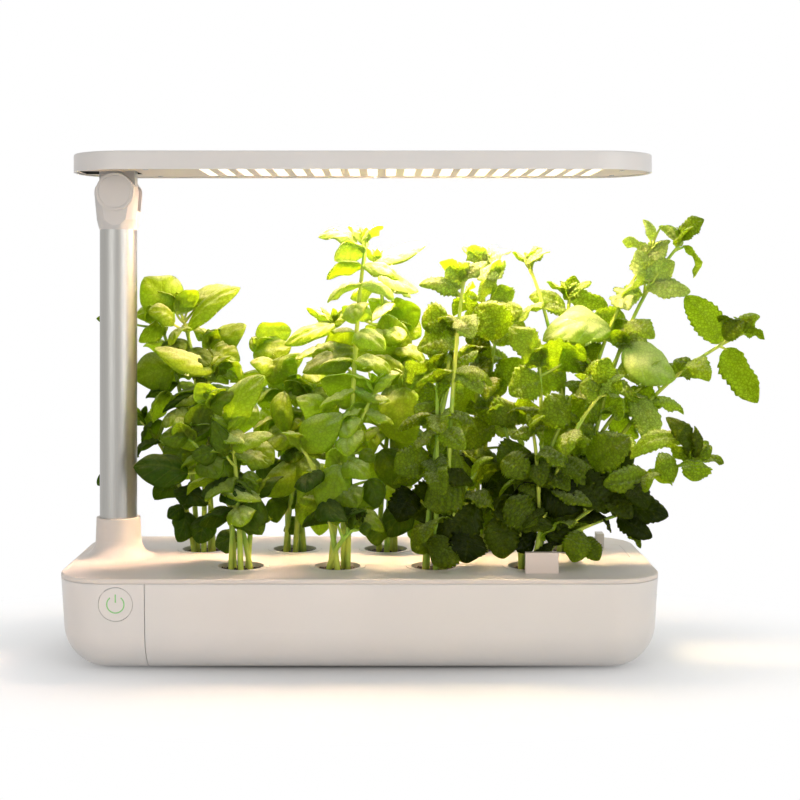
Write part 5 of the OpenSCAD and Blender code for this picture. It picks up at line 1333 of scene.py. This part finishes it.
class GARDEN_OT_base_finish(bpy.types.Operator):
    """Finishes the tank, the housing, the deck and what sits in them."""

    bl_idname = "garden.base_finish"
    bl_label = "Base finish"

    def execute(self, context):
        colours = context.scene.garden_plastic
        shell = plastic("warm_white_shell", colours.shell, 0.36, Coat_Weight=0.15, Coat_Roughness=0.25)
        dress(shell, "tank", "control_housing", "power_button", "pump_hanger")
        dress(plastic("peach_flag", (0.74, 0.63, 0.55), 0.4, Coat_Weight=0.1), "level_float")
        satin = plastic("satin_deck", colours.deck, 0.50, grain_height=0.0, Specular_IOR_Level=0.3)
        dress(satin, "deck", "refill_cap", *(f"net_pot_{number}" for number in range(1, POD_COUNT + 1)))
        symbol, tree, shader = new_material(
            "green_symbol", Roughness=0.35, Emission_Color=tuple(colours.symbol), Emission_Strength=0.25
        )
        look = use_group(tree, "Moulded plastic", {"Colour": colours.symbol})
        fill_inputs(tree, shader, {"Base Color": look["Colour"]})
        dress(symbol, "power_symbol")
        rubber = plastic("foot_rubber", (0.035, 0.035, 0.035), 0.75, grain=0.0005, grain_height=0.00008)
        dress(rubber, "tank_feet", "housing_feet")
        return {"FINISHED"}


class GARDEN_OT_inner_finish(bpy.types.Operator):
    """Finishes the pump, the board, the leads and the fasteners."""

    bl_idname = "garden.inner_finish"
    bl_label = "Inner pieces' finish"

    def execute(self, context):
        black = plastic("black_moulding", (0.025, 0.025, 0.027), 0.45, grain_height=0.00003)
        dress(black, "power_inlet", "button_switch", "pump_body")
        grey = plastic("grey_moulding", (0.30, 0.30, 0.31), 0.42, grain_height=0.00002)
        dress(grey, "pump_cover", "outlet_pipe", "pole_foot", "friction_washers")
        dress(plastic("blue_rotor", (0.05, 0.14, 0.42), 0.35), "pump_rotor")
        dress(plastic("shaft_ceramic", (0.80, 0.80, 0.77), 0.15, Coat_Weight=0.5), "rotor_shaft")
        sheath = plastic("lead_sheath", (0.02, 0.02, 0.02), 0.5, grain=0.0004, grain_height=0.00003)
        dress(sheath, "pump_lead", "lamp_lead", "lamp_inner_lead")
        steel = metal("screw_steel", (0.55, 0.55, 0.54), 0.3)
        dress(steel, "housing_screws", "board_screws", "pump_screws", "pole_foot_screws", "knuckle_screws",
              "panel_screws", "hinge_pin", "hinge_nut")
        dress(circuit("green_board"), "control_board")
        return {"FINISHED"}


class GARDEN_OT_pole_finish(bpy.types.Operator):
    """Finishes the pole, the hinge and its caps."""

    bl_idname = "garden.pole_finish"
    bl_label = "Pole and hinge finish"

    def execute(self, context):
        colours = context.scene.garden_plastic
        dress(metal("satin_aluminium", colours.aluminium, 0.38), "pole_tube")
        hinge = plastic("hinge_plastic", tinted(colours.shell, 0.84), 0.45)
        dress(hinge, "hinge_head", "hinge_cap_front", "hinge_cap_rear", "knuckle")
        return {"FINISHED"}


class GARDEN_OT_lamp_finish(bpy.types.Operator):
    """Finishes the lamp's covers and lights its windows."""

    bl_idname = "garden.lamp_finish"
    bl_label = "Lamp finish"

    def execute(self, context):
        shell = context.scene.garden_plastic.shell
        light = context.scene.garden_light
        cover = plastic("lamp_plastic", shell, 0.42, Coat_Weight=0.1, Coat_Roughness=0.4)
        dress(cover, "lamp_top_cover")
        # The underside is the shell's colour tinted warm: a painted warm glow of the lit windows on the panel
        dress(pierced_panel("lamp_underside", tinted(shell, 0.92, 0.82, 0.70)), "lamp_bottom_panel")
        windows = lit_windows("lit_windows", light.rosy, light.golden, light.grow, light.grow_seen)
        dress(windows, "led_light_bars")
        dress(metal("board_aluminium", (0.72, 0.72, 0.70), 0.4), "led_board")
        return {"FINISHED"}


class GARDEN_OT_growing_medium(bpy.types.Operator):
    """Fills each net pot with crumbly growing medium."""

    bl_idname = "garden.growing_medium"
    bl_label = "Growing medium"

    def execute(self, context):
        """Turned plugs whose top heaps up by sums of sines of the place."""
        low, high = sponge_low.z, sponge_high.z + 2.2 * MM
        foot_radius, top_radius, shoulder = 11.6 * MM, 16.3 * MM, 1.5 * MM
        profile = [(foot_radius, low), (top_radius, high - shoulder)]
        profile += [(top_radius * part, high) for part in np.linspace(0.96, 0.08, 12)]
        pods = np.stack([pod_centre(number) for number in range(1, POD_COUNT + 1)])
        rings = turned(profile, 40)[None] + pods[:, None, None]
        x, y = rings[..., 0] / MM, rings[..., 1] / MM
        heap = 0.5 * np.sin(0.9 * x + 0.4 * y) + 0.4 * np.sin(1.7 * y - 0.6 * x)
        heap += 0.3 * np.sin(2.9 * x + 2.1 * y)
        rings[:, 2:, :, 2] += heap[:, 2:] * MM
        starts = pods + np.array([0.0, 0.0, low])
        ends = pods + np.array([0.0, 0.0, high])
        vertices, quads, triangles = capped_tubes(rings, starts, ends)
        piece = mesh_piece("growing_medium", vertices, quads[:, ::-1], triangles[:, ::-1],
                           damp_medium("damp_medium"))
        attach(piece, "garden_top")
        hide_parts("grow_sponges")
        return {"FINISHED"}


class GARDEN_OT_basil(bpy.types.Operator):
    """Grows the basil in the pods on the left."""

    bl_idname = "garden.basil"
    bl_label = "Basil"

    def execute(self, context):
        settings = context.scene.garden_leaf
        blade = leaf(
            "basil_blade", BASIL, settings.basil_colour, back=(0.26, 0.31, 0.04),
            vein_colour=(0.42, 0.48, 0.08), net_size=0.0028, crease_shade=0.15, relief=0.0004,
            roughness=0.36, painted_sheen=(0.78, 0.74, 0.64), old_or_shaded_share=0.60,
        )
        stalk = stem("basil_stem", settings.stem_colour)
        for number in range(1, FIRST_MINT):
            make_plant(number, "basil", BASIL, settings.basil_length, settings.basil_width, settings.seed,
                       settings.stem_radius, stalk, blade)
        return {"FINISHED"}


class GARDEN_OT_mint(bpy.types.Operator):
    """Grows the mint in the pods on the right."""

    bl_idname = "garden.mint"
    bl_label = "Mint"

    def execute(self, context):
        settings = context.scene.garden_leaf
        blade = leaf(
            "mint_blade", MINT, settings.mint_colour, back=(0.24, 0.32, 0.03),
            vein_colour=(0.36, 0.44, 0.06), net_size=0.0025, crease_shade=0.32, relief=0.0009,
            roughness=0.42, painted_sheen=(0.66, 0.62, 0.56), old_or_shaded_share=0.15, painted_sheen_from=0.45,
        )
        stalk = stem("mint_stem", settings.stem_colour)
        # Broad leaves: a cream painted sheen of the lamp on nearly every face that looks up
        broad = leaf(
            "broad_blade", BASIL, (0.13, 0.19, 0.012), back=(0.26, 0.31, 0.06),
            vein_colour=(0.66, 0.72, 0.42), net_size=0.0028, crease_shade=0.15, relief=0.0004,
            roughness=0.36, painted_sheen=(0.92, 0.89, 0.66), old_or_shaded_share=0.4, painted_sheen_from=0.02,
        )
        thinner = 0.9
        for number in range(FIRST_MINT, POD_COUNT + 1):
            make_plant(number, "mint", MINT, settings.mint_length, settings.mint_width, settings.seed,
                       settings.stem_radius * thinner, stalk, blade, broad)
        return {"FINISHED"}


OPERATORS = [
    GARDEN_OT_stage,
    GARDEN_OT_base_finish,
    GARDEN_OT_inner_finish,
    GARDEN_OT_pole_finish,
    GARDEN_OT_lamp_finish,
    GARDEN_OT_growing_medium,
    GARDEN_OT_basil,
    GARDEN_OT_mint,
]


class GARDEN_PT_panel(bpy.types.Panel):
    """Lists the garden's steps and their settings."""

    bl_idname = "GARDEN_PT_panel"
    bl_label = "Hydroponic garden"
    bl_space_type = "VIEW_3D"
    bl_region_type = "UI"
    bl_category = "Garden"

    def draw(self, context):
        for operator in OPERATORS:
            self.layout.operator(operator.bl_idname)
        for name, group in SETTINGS.items():
            box = self.layout.box()
            box.label(text=group.__doc__)
            for prop in group.__annotations__:
                box.prop(getattr(context.scene, name), prop)


def register():
    for group in SETTINGS.values():
        bpy.utils.register_class(group)
    for name, group in SETTINGS.items():
        setattr(bpy.types.Scene, name, PointerProperty(type=group))
    for operator in OPERATORS:
        bpy.utils.register_class(operator)
    bpy.utils.register_class(GARDEN_PT_panel)


def unregister():
    bpy.utils.unregister_class(GARDEN_PT_panel)
    for operator in reversed(OPERATORS):
        bpy.utils.unregister_class(operator)
    for name in SETTINGS:
        delattr(bpy.types.Scene, name)
    for group in reversed(SETTINGS.values()):
        bpy.utils.unregister_class(group)


def main():
    """Runs every step in order."""
    register()
    for operator in OPERATORS:
        category, step = operator.bl_idname.split(".")
        getattr(getattr(bpy.ops, category), step)()


if __name__ == "__main__":
    main()
